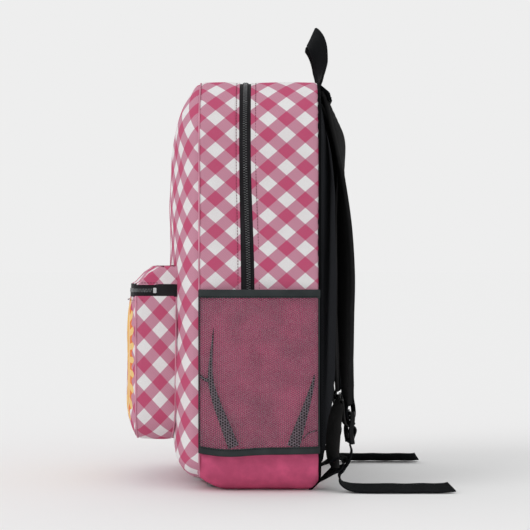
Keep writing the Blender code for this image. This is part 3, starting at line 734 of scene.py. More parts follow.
def gusset_cloth(name, y0, y1, zip_side, mat, rows):
    """A strip of the gusset; zip_side is the edge, -1 or 1, that meets the zipper."""
    z0 = ELASTIC_TOP - 0.004
    whole = side_length(z0)

    def place(u, v):
        shift = zip_shift(side_line(u, z0)[0][1]) * (FRONT_DRIFT if zip_side > 0 else 1.0)
        low = y0 + (shift if zip_side < 0 else 0.0)
        high = y1 + (shift if zip_side > 0 else 0.0)
        y = mix(low, high, v)
        from_seam = (y - low) if zip_side > 0 else (high - y)
        from_zip = (high - y) if zip_side > 0 else (y - low)
        stitch = FRONT_STITCH if zip_side > 0 else REAR_STITCH
        puff = 0.0008 * hump(v)
        seam = -0.0016 * (1 - ease(from_seam / 0.0035))
        pucker = 0.00035 * sin(u * whole * 520) * (1 - ease(from_seam / 0.012))
        groove = -0.0007 * bell(from_zip, stitch, 0.0008)
        lip = 0.0004 * ease(1 - from_zip / stitch) if from_zip < stitch else 0.0
        wave = 0.0004 * sin(u * whole * 45 + 2 * v)
        (x, z), _ = side_line(u, z0, -(puff + seam + pucker + groove + lip + wave))
        return x, y, z

    outer = grid(place, 230, rows)
    run = np.array([gusset_run(t, z0) for t in np.linspace(0, 1, 231)])[:, None]
    return skin(name, outer, flat(outer[..., 1], run), (mat, "lining"), out=-1.0)


def zip_line(y, out, z0=ELASTIC_TOP, steps=420, drift=1.0):
    """A line along the gusset at a depth, and the cloth's outward direction on it."""
    points, normals = [], []
    for t in np.arange(steps + 1) / steps:
        (x, z), (side, up) = side_line(t, z0, -out)
        points.append((x, y + drift * zip_shift(side_line(t, z0)[0][1]), z))
        normals.append((side, 0.0, up))
    return np.array(points), np.array(normals)


def make_gusset():
    edge_front, edge_rear = ZIP_Y - ZIP_HALF, ZIP_Y + ZIP_HALF
    front = gusset_cloth("gusset_front_cloth", SEAM_FRONT, edge_front, 1, "side_front", 26)
    nodes = ("gusset_front", "gusset_front_stub_R", "gusset_front_stub_L")
    finish_piece(front, nodes=nodes, bend=FLAP_BEND)
    rear = gusset_cloth("gusset_rear_cloth", edge_rear, SEAM_BACK, -1, "side_rear", 34)
    finish_piece(rear, "bag", ("gusset_rear",))
    rows = (
        ("front", edge_front - FRONT_STITCH, FLAP_BEND, FRONT_DRIFT),
        ("rear", edge_rear + REAR_STITCH, None, 1.0)
    )
    for name, y, bend, drift in rows:
        points, normals = zip_line(y, 0.0001, drift=drift)
        row = stitches(f"zipper_topstitch_{name}", points, normals, size=TOPSTITCH)
        finish_piece(row, "bag", bend=bend)


def make_zipper():
    z0 = ELASTIC_TOP - 0.004
    for name, sign, bend in (("front", -1.0, FLAP_BEND), ("rear", 1.0, None)):
        inner = ZIP_Y + sign * 0.0005
        edge = ZIP_Y + sign * (ZIP_HALF + (0.0015 if sign > 0 else 0.004))
        points, _ = zip_line((inner + edge) / 2, -0.0014, z0)
        band = flat_section(abs(edge - inner), 0.0009, 0.0003, 9)
        tape = sweep(f"zipper_tape_cloth_{name}", points, TO_BACK, band, "tape")
        finish_piece(tape, "bag", (f"zipper_tape_{name}",), bend=bend)
        line, _ = zip_line(ZIP_Y + sign * 0.00115, 0.0001, z0, 900)
        spots, _, at = resample(line, 0.0028, 0.0 if sign > 0 else 0.5)
        turns = [side_line(a / side_length(z0), z0)[1] for a in at]
        outs = np.array([(side, 0.0, up) for side, up in turns])
        teeth = beads(f"zipper_teeth_{name}", spots, TO_BACK, outs, 0.0027, *TOOTH, "coil")
        finish_piece(teeth, "bag", (f"zipper_coil_{name}",), bend=bend)
        # A cord along the back of the teeth, sewn to the tape.
        line, _ = zip_line(ZIP_Y + sign * 0.0026, -0.0004, z0)
        welt = sweep(f"zipper_cord_{name}", line, TO_BACK, round_section(0.0006, 6), "tape", sharp=90)
        finish_piece(welt, "bag", bend=bend)


def make_base():
    def place(u, v):
        y = mix(SEAM_FRONT + 0.0004, SEAM_BACK - 0.0004, v)
        (x, z), _ = base_line(u)
        edge = min(y - SEAM_FRONT, SEAM_BACK - y)
        tuck = 0.0012 * (1 - ease(edge / 0.004))
        upright = ease((z - 0.004) / 0.02)
        wave = (0.0008 * sin(y * 75 + 1.2) + 0.0005 * sin(y * 150 + z * 160)) * upright
        x -= copysign(tuck - wave, x) * upright
        return settle(x, y, z)

    outer = grid(place, 110, 36)
    run = lengths(outer, 0)[:, 18:19]
    base = skin("base_cloth", outer, flat(outer[..., 1], run), ("pink", "lining"), out=1.0)
    finish_piece(base, "bag", ("bottom_panel",))


def outline_loop(y_at, inset):
    """The bag's seam line all round, at the depth that y_at gives, and its outward directions."""
    upper, lower = 162, 98
    places = [side_line(i / upper, BASE_TOP, inset) for i in range(upper)]
    places += [base_line(1 - i / lower, inset) for i in range(lower)]
    points = [settle(x, y_at, z) for (x, z), _ in places]
    return np.array(points), np.array([(side, 0.0, up) for _, (side, up) in places])


def rest_on_floor(obj):
    for v in obj.data.vertices:
        v.co.z = max(v.co.z, 0.0002)


def make_seams():
    points, outs = outline_loop(SEAM_FRONT, 0.0006)
    welt = sweep("front_seam_welt", points, outs, round_section(0.0009), "seam", closed=True, sharp=90)
    rest_on_floor(welt)
    finish_piece(welt, bend=FLAP_BEND)
    points, outs = outline_loop(SEAM_BACK + 0.0004, 0.0004)
    welt = sweep("back_seam_welt", points, outs, round_section(0.0017), "black", closed=True, sharp=90)
    rest_on_floor(welt)
    finish_piece(welt, "bag")


# ---- side pockets


def mesh_out(y):
    u = clamp((y - SEAM_FRONT) / (SEAM_BACK - SEAM_FRONT))
    return MESH_EDGE_X + MESH_BULGE * max(hump(u), 0.0) ** 0.6


def mesh_face(side, y, z, out=0.0):
    """A point of the mesh, which hangs in shallow folds below its elastic."""
    u = (y - SEAM_FRONT) / (SEAM_BACK - SEAM_FRONT)
    held = hump(clamp((z - HEM_TOP) / (MESH_TOP - HEM_TOP)))
    fold = 0.0011 * sin(y * 95 + z * 14) + 0.0008 * sin(z * 42 - y * 30)
    crease = 0.0016 * (bell(y + (z - 0.053) * 0.34, 0.0, 0.006) + bell(y - (z - 0.053) * 0.3, 0.064, 0.006))
    free = hump(u) ** 0.5 if 0 < u < 1 else 0.0
    return side * (mesh_out(y) - 0.0012 + (fold * held + crease * held) * free + out), y, z


def hem_z(y):
    return 0.0489 - 0.0026 * bell(y, -0.01, 0.026) + 0.0012 * bell(y, -0.05, 0.015)


def make_side(side, tag):
    middle = (SEAM_FRONT + SEAM_BACK) / 2
    body = "mesh_pocket" + tag

    def wall(u, v):
        y = mix(SEAM_FRONT + 0.0003, SEAM_BACK - 0.0003, u)
        z = mix(BASE_TOP - 0.0006, ELASTIC_TOP - 0.0015, v)
        wave = 0.0006 * sin(y * 62 + z * 20) * hump(u)
        return side * (WIDTH / 2 - 0.0006 + wave), y, z

    outer = grid(wall, 30, 30)
    piece = skin("side_wall_cloth" + tag, outer, outer[..., 1:], ("pink", "lining"), thick=0.0014, out=side)
    finish_piece(piece, "bag", ("side_panel" + tag,))
    for part, ya, yb in (("front", SEAM_FRONT, middle), ("back", SEAM_BACK, middle)):
        first = part == "front"
        bend = ("bag", body, (0.0, ya, 0.0), (0.0, yb, 0.0))
        ys = np.linspace(ya, yb, 33)

        def sheet(u, v, ya=ya, yb=yb):
            y = mix(ya, yb, u)
            return mesh_face(side, y, mix(hem_z(y), MESH_TOP + 0.003, v))

        outer = grid(sheet, 32, 60)
        flip = side if yb > ya else -side
        piece = skin(f"mesh_cloth_{part}{tag}", outer, outer[..., 1:], ("mesh",), thick=0.0006, out=flip)
        finish_piece(piece, nodes=("side_mesh" + tag,) if first else (), bend=bend)
        lie = [(side * (mesh_out(y) - 0.0006), y, (MESH_TOP + ELASTIC_TOP) / 2 + 0.0002) for y in ys]
        band = flat_section(0.0095, 0.0026, 0.001, 9)
        piece = sweep(f"elastic_band_{part}{tag}", lie, UP, band, "binding")
        finish_piece(piece, nodes=("mesh_elastic" + tag,) if first else (), bend=bend)
        lie = [(side * (mesh_out(y) - 0.0004), y, hem_z(y)) for y in ys]
        piece = sweep(f"hem_band_{part}{tag}", lie, UP, flat_section(0.0084, 0.0022, 0.0009, 9), "binding")
        finish_piece(piece, nodes=("mesh_hem" + tag,) if first else (), bend=bend)
        for name, z_of in (("elastic", lambda y: MESH_TOP + 0.0018), ("hem", lambda y: hem_z(y) + 0.0028)):
            line = [(side * (mesh_out(y) + 0.0009), y, z_of(y)) for y in ys]
            row = stitches(
                f"{name}_stitches_{part}{tag}", line, (side, 0.0, 0.0), "dark_thread", 0.0028, 0.0021
            )
            finish_piece(row, bend=bend)
        make_pleats(side, tag, part, bend)
    # A narrow binding holds the mesh's edges in the front and rear seams.
    for part, y in (("front", SEAM_FRONT + 0.0001), ("rear", SEAM_BACK - 0.0008)):
        line = [(side * (WIDTH / 2 + 0.0012), y, z) for z in np.linspace(hem_z(y), ELASTIC_TOP - 0.001, 60)]
        edge = sweep(
            f"mesh_edge_{part}{tag}", line, TO_BACK, flat_section(0.0018, 0.0014, 0.0004, 3), "binding"
        )
        finish_piece(edge, "bag")


# Folded pleats of the mesh: lower width, and the line from the hem upwards as (depth, height).
PLEATS = {
    "front": (
        (0.0125, ((-0.0045, 0.053), (-0.015, 0.08), (-0.0245, 0.105), (-0.0305, 0.129), (-0.03, 0.155),
                  (-0.027, 0.188))),
        (0.004, ((-0.043, 0.134), (-0.037, 0.129), (-0.031, 0.1285), (-0.027, 0.13))),
    ),
    "back": (
        (0.0145, ((0.063, 0.053), (0.069, 0.072), (0.076, 0.093), (0.0835, 0.118), (0.0875, 0.135))),
        (0.0016, ((0.074, 0.062), (0.08, 0.068), (0.086, 0.0705), (0.0915, 0.071))),
    ),
}


def make_pleats(side, tag, part, bend):
    for number, (wide, line) in enumerate(PLEATS[part], 1):
        line = [(y, z, 0.0) for y, z in line]

        def place(u, v, line=line, wide=wide):
            p = smooth_through(line, u)
            q = smooth_through(line, min(u + 0.02, 1.0)) - smooth_through(line, max(u - 0.02, 0.0))
            along = Vector((q.x, q.y)).normalized()
            width = wide * (1.0 - 0.93 * u ** 1.25)
            if number == 2:
                width = wide * (0.25 + 0.75 * sin(pi * min(u * 0.9 + 0.1, 1.0)))
            y = p.x + along.y * width * (v - 0.5)
            z = p.y - along.x * width * (v - 0.5)
            crown = 0.0009 * hump(v) + 0.0004
            return mesh_face(side, y, z, crown)

        outer = grid(place, 46, 8)
        name = f"mesh_pleat_{part}_{number}{tag}"
        piece = skin(name, outer, outer[..., 1:] * 0.9, ("pleat",), thick=0.0007, out=-side)
        finish_piece(piece, bend=bend)


# ---- front pocket


def pocket_face_y(x, z):
    sideways = 1.0 - abs(x / POCKET_HALF) ** 3.5
    low = rise((z - POCKET_Z0) / 0.045, 2.2) ** 0.6
    high = 1.0 - 0.38 * rise((z - 0.17) / (POCKET_ZIP_Z - 0.17), 1.0) ** 2
    return POCKET_EDGE_Y - POCKET_BULGE * sideways * low * high


def pocket_line(t, top):
    """The pocket's sewn edge: down the right side, along the base and up."""
    return arch(t, POCKET_HALF, POCKET_RADIUS, top, POCKET_Z0)


def pocket_half_width(z):
    past = POCKET_RADIUS - (z - POCKET_Z0)
    return narrowed(POCKET_HALF, POCKET_RADIUS, past) if past > 0 else POCKET_HALF


def make_pocket():
    top = POCKET_ZIP_Z - POCKET_ZIP_HALF + 0.0008

    def band(u, v):
        (x, z), out = pocket_line(u, top)
        y = mix(front_y(x, z) + 0.0006, POCKET_EDGE_Y + 0.0004, v)
        seams = 0.0012 * (1 - ease(v / 0.08)) + 0.0012 * (1 - ease((1 - v) / 0.07))
        puff = 0.0022 + 0.0016 * hump(v) - seams
        puff += 0.0005 * sin(u * 60 + v * 4) * hump(v)
        return x + out[0] * puff, y, z + out[1] * puff

    outer = grid(band, 150, 20)
    run = top - lengths(outer, 0)[:, 10:11]
    side_piece = skin(
        "pocket_side_cloth", outer, flat(outer[..., 1], run), ("pocket_side", "lining"), thick=0.0016,
        out=-1.0
    )
    finish_piece(side_piece, "bag", ("pocket_side_band",))

    def face(u, v):
        z = mix(POCKET_Z0 - 0.0012, top, v**1.5)
        x = (pocket_half_width(max(z, POCKET_Z0)) + 0.0012) * sin((u - 0.5) * pi)
        wave = 0.0006 * sin(x * 70 + z * 50) * cos(x / POCKET_HALF * 1.5)
        return x, pocket_face_y(min(max(x, -POCKET_HALF), POCKET_HALF), z) - wave, z

    outer = grid(face, 60, 56)
    piece = skin(
        "pocket_front_cloth", outer, outer[..., [0, 2]], ("pocket_front", "lining"), thick=0.0016, out=1.0
    )
    finish_piece(piece, "bag", ("pocket_front_panel",))
    # Seam welts round the pocket's front and where it meets the bag.
    for name, y_at in (
        ("front", lambda x, z: POCKET_EDGE_Y - 0.0004), ("rear", lambda x, z: front_y(x, z) - 0.0008)
    ):
        line, outs = [], []
        for i in range(161):
            (x, z), (side, up) = pocket_line(i / 160, top)
            line.append((x + side * 0.0012, y_at(x, z), z + up * 0.0012))
            outs.append((side, 0.0, up))
        welt = sweep(f"pocket_seam_{name}", line, outs, round_section(0.0011), "seam", sharp=90)
        finish_piece(welt, "bag")


def wrap_line(z, outset, rear):
    """A level line round the pocket: right side, front and left side, with its outward directions."""
    corner = 0.01
    half = POCKET_HALF + outset
    edge = POCKET_EDGE_Y - outset
    points = [(half, y, z) for y in np.linspace(rear, edge + corner, 30)]
    for angle in pi / 2 * np.arange(1, 12) / 12:
        x = half - corner + corner * cos(angle)
        front = pocket_face_y(max(x - outset, 0.0), z) - outset
        points.append((x, mix(edge + corner, front, sin(angle)), z))
    for x in np.linspace(half - corner, 0.0, 70):
        points.append((x, pocket_face_y(x * POCKET_HALF / half, z) - outset, z))
    right = np.array(points)
    line = np.concatenate([right, right[-2::-1] * (-1.0, 1.0, 1.0)])
    outs = np.cross(unit(np.gradient(line, axis=0)), UP)
    return line, -outs if outs[0][0] < 0 else outs


def make_pocket_zipper():
    for name, sign, body in (("lower", -1.0, "bag"), ("upper", 1.0, "pocket_lid")):
        line, _ = wrap_line(POCKET_ZIP_Z + sign * 0.0039, 0.0004, STOP_Y + 0.002)
        tape = sweep(f"pocket_zip_tape_{name}", line, UP, flat_section(0.0072, 0.0009, 0.0003, 7), "tape")
        finish_piece(tape, body, (f"pocket_tape_{name}",))
        line, outs = wrap_line(POCKET_ZIP_Z + sign * 0.00105, 0.0012, STOP_Y - 0.003)
        spots, _, at = resample(line, 0.0018, 0.0 if sign > 0 else 0.5)
        facing = between(at, lengths(line), outs)
        teeth = beads(f"pocket_zip_teeth_{name}", spots, UP, facing, 0.0026, *TOOTH, "coil")
        finish_piece(teeth, body, (f"pocket_coil_{name}",))
    for side, tag in SIDES:
        # Past its stop the zipper's tape is closed, and its end is sewn into the bag's side.
        line = []
        for t in np.linspace(0, 1, 24):
            x = side * (POCKET_HALF + 0.0016 + 0.0007 * hump(t))
            line.append(
                (x, mix(front_y(POCKET_HALF, POCKET_ZIP_Z) + 0.001, STOP_Y + 0.0012, t), POCKET_ZIP_Z)
            )
        end = sweep("pocket_zip_end" + tag, line, UP, flat_section(0.0148, 0.0013, 0.0004, 9), "tape")
        finish_piece(end, "bag")
    top = POCKET_ZIP_Z - POCKET_ZIP_HALF
    line, outs = wrap_line(top - 0.004, 0.0026, front_y(POCKET_HALF, top) - 0.001)
    finish_piece(stitches("pocket_topstitch_lower", line, outs, size=TOPSTITCH), "bag")


# Height of the lid's edge from the bag forwards, as (depth, height) at the pocket's side.
LID_EDGE = (
    (-0.062, 0.2576), (-0.078, 0.2575), (-0.093, 0.2566), (-0.0975, 0.2532), (-0.104, 0.2496),
    (-0.1085, 0.2448), (-0.114, 0.2392), (-0.1185, 0.2374)
)


def lid_height(y):
    ys, zs = zip(*LID_EDGE[::-1])
    return float(np.interp(y, ys, zs))


def make_lid():
    low = POCKET_ZIP_Z + POCKET_ZIP_HALF - 0.0008
    half = POCKET_HALF + 0.0022

    def place(u, v):
        # u runs up the right wall, over the top and down the left wall; v from rear to front.
        around = abs(u - 0.5) * 2
        side = 1.0 if u < 0.5 else -1.0
        wall = 0.16
        rear_y = front_y(POCKET_HALF, POCKET_TOP_Z) + 0.0008
        y_edge = mix(rear_y, POCKET_EDGE_Y + 0.0008, v)
        crest = max(lid_height(y_edge), low + 0.0006)
        if around > 1 - wall:
            rise_by = (1 - around) / wall
            corner = 0.0028 * ease((rise_by - 0.55) / 0.45)
            return side * (half - corner), y_edge, mix(low, crest, sin(rise_by * pi / 2))
        x = side * (half - 0.0028) * sin(around / (1 - wall) * pi / 2)
        inner = min(abs(x), POCKET_HALF)
        middle = 1.0 - (abs(x) / half) ** 4
        rear = front_y(inner, POCKET_TOP_Z) + 0.0008
        face = pocket_face_y(inner, LID_Z0) + 0.0002
        y = mix(mix(rear, face, v), y_edge, (abs(x) / half) ** 6)
        sag = 0.0006 * sin(x * 90) * hump(v)
        z = crest + 0.0012 * middle * hump(v) + sag
        return x, y, max(z, low)

    outer = grid(place, 120, 40)
    from_side = half - np.abs(outer[..., 0])
    up = np.where(from_side < 0.004, outer[..., 2], POCKET_TOP_Z + from_side)
    lid = skin(
        "pocket_lid_cloth", outer, flat(outer[..., 1], up), ("pocket_lid", "lining"), thick=0.0016, out=1.0
    )
    finish_piece(lid, "pocket_lid", ("pocket_top_cap",))
    # Two rows of piping follow the lid's rear seam across the bag.
    for number, depth in enumerate((0.004, 0.016), 1):
        line = []
        for i in range(81):
            x = half * 0.985 * sin((i / 80 - 0.5) * pi)
            y = front_y(min(abs(x), POCKET_HALF), POCKET_TOP_Z) - depth
            crest = lid_height(min(y, -0.062) if abs(x) > 0.1 else -0.09)
            line.append((x, y, crest + 0.0006 + 0.0012 * (1 - (abs(x) / half) ** 4) * 0.4))
        welt = sweep(
            f"pocket_lid_piping_{number}", line, TO_BACK, round_section(0.0008, 6), "thread", sharp=90
        )
        finish_piece(welt, "pocket_lid")
    line, _ = wrap_line(low + 0.0022, 0.0026, STOP_Y + 0.004)
    keep = line[:, 1] > POCKET_EDGE_Y + 0.004
    for side, tag in SIDES:
        part = line[keep & (line[:, 0] * side > 0)]
        row = stitches("pocket_topstitch_upper" + tag, part, (side, 0.0, 0.0), size=TOPSTITCH)
        finish_piece(row, "pocket_lid")


# ---- back, handle and straps


def make_back():
    def place(u, v):
        x, z = panel_point(u, v, 0.0045, 0.001)
        d = edge_distance(x, z)
        y = back_y(x, z)
        inside = ease((d - 0.004) / 0.02)
        spine = 0.003 * bell(x, 0.0, 0.005) * ease((d - 0.02) / 0.03)
        frame_line = 0.0018 * bell(d, 0.026, 0.0022)
        swell = 0.0008 * sin(z * 31 + 0.6) * sin(x * 24 + 1.4) * inside
        return settle(x, y - spine - frame_line + swell, z)

    outer = grid(place, 96, 120)
    inner = outer.copy()
    inner[..., 1] = np.minimum(outer[..., 1] - 0.0022, SEAM_BACK - 0.0016)
    for i in range(inner.shape[0]):
        for j in range(inner.shape[1]):
            d = edge_distance(inner[i, j, 0], inner[i, j, 2])
            inner[i, j, 1] -= 0.0085 * ease((d - 0.006) / 0.02) - 0.009 * rise(d / BACK_REACH, 1.3)
    pad = skin("back_pad", outer, outer[..., [0, 2]], ("air", "lining"), inner=inner)
    finish_piece(pad, "bag", ("back_panel", "back_foam"))


HANDLE_LINE = [
    (0.047, 0.0965, 0.4737), (0.046, 0.0985, 0.492), (0.043, 0.0972, 0.51), (0.034, 0.0935, 0.526),
    (0.016, 0.0892, 0.536), (0.0, 0.0881, 0.538), (-0.016, 0.0892, 0.536), (-0.034, 0.0935, 0.526),
    (-0.043, 0.0972, 0.51), (-0.046, 0.0985, 0.492), (-0.047, 0.0965, 0.4737),
]


def handle_across(t):
    lean = hump(t)
    turn = radians(90) * lean**2
    twist = radians(27) * min(1.0, 7 * t, 7 * (1 - t))
    ends = Vector((cos(twist), sin(twist), 0.0))
    across = ends * cos(turn) + Vector((0.0, 0.41, 0.91)) * sin(turn)
    across.x += -0.9 * cos(pi * t) * lean * sin(turn)
    return across.normalized()


def make_handle():
    across = [handle_across(t) for t in np.linspace(0.0, 1.0, 97)]
    band = flat_section(WEB, 0.0022, 0.0007, 9)
    loop = sweep("handle_webbing", smooth_line(HANDLE_LINE, 97), across, band, "webbing")
    bend = ("bag", "handle", (0.0, 0.0965, 0.4752), (0.0, 0.0965, 0.496))
    finish_piece(loop, nodes=("top_handle",), bend=bend)
    for side, tag in SIDES:
        # Each end is sewn into the top seam under a short folded tab.
        xs = np.linspace(-0.014, 0.014, 15)
        line = [(side * 0.047 + x, 0.0958, 0.4722 + 0.0006 * cos(x * 110)) for x in xs]
        tab = sweep(
            "handle_tab" + tag, line, (0.0, 0.8, -0.6), flat_section(0.008, 0.0022, 0.0007), "webbing"
        )
        finish_piece(tab, "bag")


# The strap's middle line, from the shoulder down: across, depth, height, width and lean.
STRAP_LINE = [
    (0.064, 0.103, 0.453, 0.066, -0.05), (0.067, 0.111, 0.433, 0.066, -0.15),
    (0.07, 0.1172, 0.412, 0.066, -0.22), (0.075, 0.12, 0.383, 0.066, -0.12),
    (0.082, 0.1219, 0.34, 0.066, 0.06), (0.09, 0.1243, 0.295, 0.066, 0.16),
    (0.099, 0.1257, 0.245, 0.064, 0.2), (0.108, 0.125, 0.2, 0.06, 0.2),
    (0.116, 0.1252, 0.16, 0.054, 0.18), (0.123, 0.1255, 0.128, 0.044, 0.16),
    (0.127, 0.1262, 0.104, 0.03, 0.14),
]
LOCK_LEAN = 0.14


def strap_at(side, t):
    """The strap's middle, its width and the direction across it."""
    p = smooth_through([q[:3] for q in STRAP_LINE], max(t, 0.0))
    width, lean = smooth_through([q[3:] for q in STRAP_LINE], max(t, 0.0))
    above = max(-t, 0.0) * 10
    return (side * p[0], p[1] - 0.016 * above, p[2] + 0.032 * above), width, (1.0, side * lean, 0.0)


def make_strap(side, tag):
    bend = ("bag", "strap" + tag, (0.0, 0.0955, 0.468), (0.0, 0.11, 0.436))
    # The pad starts a little above the line's first point, under the yoke.
    ts = np.concatenate([[-0.03, -0.015], np.linspace(0.0, 1.025, 129)])
    path, widths, across = (np.array(a) for a in zip(*(strap_at(side, t) for t in ts)))
    taper = np.array([1.0 - 0.35 * ease((t - 0.93) / 0.07) for t in ts])
    tangent = unit(np.gradient(path, axis=0))
    across = unit(across - tangent * (tangent * across).sum(-1, keepdims=True))
    out = np.cross(across, tangent)
    out = np.where(out[:, 1:2] < 0, -out, out)

    def place(u, v):
        i = int(round(u * 130))
        angle = 2 * pi * v
        a = copysign(abs(cos(angle)) ** 0.62, cos(angle))
        b = copysign(abs(sin(angle)) ** 0.8, sin(angle))
        edge_seam = 0.0009 * (bell(abs(a), 0.86, 0.03))
        thick = STRAP_THICK / 2 * taper[i] - edge_seam
        ripple = 0.0003 * sin(ts[i] * 210) * (1 - a * a)
        return path[i] + across[i] * a * widths[i] / 2 + out[i] * (b * thick + ripple)

    rows, m = 131, 36
    verts = np.array([[place(i / 130, j / m) for j in range(m)] for i in range(rows)])
    cloth = flat(((verts - path[:, None]) * across[:, None]).sum(-1), lengths(path)[:, None])
    pad = build("strap_pad" + tag, verts, tube_faces(rows, m), cloth, ("strap",))
    finish_piece(pad, nodes=("shoulder_strap" + tag,), bend=bend)
    for edge, sign in (("inner", -1.0), ("outer", 1.0)):
        line = path + across * sign * (widths[:, None] / 2 - 0.0006)
        section = round_section(0.0026, 10, taller=1.15)
        bind = sweep(f"strap_binding_{edge}{tag}", line, out, section, "strap_edge", sharp=90)
        finish_piece(bind, bend=bend)
    # Webbing sewn down the middle of the strap's outer face carries the ladder lock.
    start = 62
    line = path[start:] + out[start:] * (STRAP_THICK / 2 * taper[start:, None] + 0.0007)
    web = sweep(
        "strap_webbing" + tag, line, across[start:], flat_section(WEB, 0.0016, 0.0005, 9), "webbing"
    )
    finish_piece(web, "strap" + tag)
    for n, x in enumerate((-0.0105, 0.0105), 1):
        seam = line[:-4] + across[start:-4] * x + out[start:-4] * 0.0009
        row = stitches(f"strap_stitches_{n}{tag}", seam, out[start:-4], "dark_thread")
        finish_piece(row, "strap" + tag)
    make_yoke(side, tag, bend)
    make_keeper(side, tag)


def make_yoke(side, tag, bend):
    line = [
        (0.063, 0.0945, 0.4712), (0.0632, 0.0975, 0.4692), (0.0634, 0.102, 0.4655), (0.0637, 0.1066, 0.4612)
    ]
    line = [(side * x, y, z) for x, y, z in [*line, (0.064, 0.1082, 0.456), (0.065, 0.1095, 0.452)]]

    def place(u, v):
        p = smooth_through(line, u)
        width = 0.074 - 0.004 * u
        fall = 0.0012 * (abs(v - 0.5) * 2) ** 4
        return p.x + width * (v - 0.5), p.y + 0.0006 - fall, p.z + 0.0004 - fall

    outer = grid(place, 24, 24)
    piece = skin("yoke_cloth" + tag, outer, outer[..., [0, 2]], ("black",), thick=0.0034, out=-1.0)
    finish_piece(piece, nodes=("strap_yoke" + tag,), bend=bend)
    line_top = [(p[0], p[1] + 0.0003, p[2] + 0.0001) for p in outer[20]]
    row = stitches("yoke_stitches" + tag, line_top, (0.0, 0.8, 0.5), "dark_thread")
    finish_piece(row, bend=bend)


def make_keeper(side, tag):
    """The webbing loop round the ladder lock's upper bar."""
    x, y, z = side * LOCK[0], LOCK[1], LOCK[2] + 0.0155
    line = [
        (x - side * 0.0008, y - 0.0012, z + 0.018), (x, y - 0.0038, z + 0.009), (x, y - 0.0046, z + 0.001)
    ]
    line += [
        (x, y - 0.0036, z - 0.004), (x, y, z - 0.0055), (x, y + 0.0036, z - 0.004),
        (x, y + 0.0046, z + 0.001)
    ]
    line += [
        (x, y + 0.004, z + 0.009), (x - side * 0.0008, y + 0.0026, z + 0.018),
        (x - side * 0.002, y + 0.0024, z + 0.027)
    ]
    band = flat_section(WEB - 0.0022, 0.0016, 0.0005, 7)
    loop = sweep("lock_loop" + tag, smooth_line(line, 60), (1.0, side * LOCK_LEAN, 0.0), band, "webbing")
    finish_piece(loop, "strap" + tag, ("lock_keeper" + tag,))


def bar(points, section):
    """One closed bar of a moulded piece, as (verts, faces)."""
    path = np.asarray(points, float)
    tangent = unit(np.gradient(path, axis=0))
    side = unit(np.cross(tangent, (0.0, 1.0, 0.0) if abs(tangent[0][1]) < 0.9 else (1.0, 0.0, 0.0)))
    out = np.cross(side, tangent)
    section = np.asarray(section, float)
    verts = carried(path, side, out, section[None, :, 0], section)
    return verts.reshape(-1, 3), tube_faces(len(path), len(section))


def fused(name, parts, mats):
    """Closed bars made one body with Boolean unions, with softened edges."""
    objs = []
    for i, (verts, faces) in enumerate(parts):
        objs.append(build(f"{name}_{i}", verts, faces, np.zeros((len(verts), 2)), mats))
    body = objs[0]
    for other in objs[1:]:
        union = body.modifiers.new("union", "BOOLEAN")
        union.operation = "UNION"
        union.solver = "EXACT"
        union.object = other
    bevel = body.modifiers.new("bevel", "BEVEL")
    bevel.width = 0.0004
    bevel.segments = 2
    bevel.limit_method = "ANGLE"
    bpy.context.view_layer.update()
    mesh = bpy.data.meshes.new_from_object(body.evaluated_get(bpy.context.evaluated_depsgraph_get()))
    for obj in objs:
        bpy.data.objects.remove(obj, do_unlink=True)
    mesh.shade_smooth()
    mesh.set_sharp_from_angle(angle=radians(35))
    return new_object(name, mesh)


# The lock's four bars: height and depth from its middle, and their two half thicknesses.
LOCK_BARS = (
    (0.0163, 0.0006, 0.0022, 0.0026), (0.0052, 0.0012, 0.0022, 0.003),
    (-0.0048, -0.0004, 0.0022, 0.0026), (-0.0162, 0.0008, 0.0026, 0.0028),
)


def make_lock(side, tag):
    """A ladder lock: two curved rails with four bars between them."""
    cx, cy, cz = side * LOCK[0], LOCK[1], LOCK[2]
    width, _, height = LOCK_SIZE

    def rail(offset):
        line = []
        for t in np.linspace(0, 1, 13):
            z = mix(height / 2 - 0.0006, -height / 2 + 0.0006, t)
            y = 0.001 * sin(t * pi * 2.2 + 0.4)
            line.append((cx + offset, cy + y, cz + z))
        return bar(line, round_section(0.0024, 8, 1.15, 1.2))

    parts = [rail(width / 2 - 0.0029), rail(-width / 2 + 0.0029)]
    xs = np.linspace(-width / 2 + 0.0028, width / 2 - 0.0028, 9)
    for z, y, tall, deep in LOCK_BARS:
        line = [(cx + x, cy + y, cz + z - 0.0006 * cos(x * 90)) for x in xs]
        parts.append(bar(line, round_section(1.0, 10, tall, deep)))
    lock = fused("ladder_lock_frame" + tag, parts, ("plastic",))
    lean = side * atan(LOCK_LEAN)
    middle = Vector((cx, cy, cz))
    lock.data.transform(
        Matrix.Translation(middle) @ Matrix.Rotation(lean, 4, "Z") @ Matrix.Translation(-middle)
    )
    finish_piece(lock, "buckle" + tag, ("ladder_lock" + tag,))


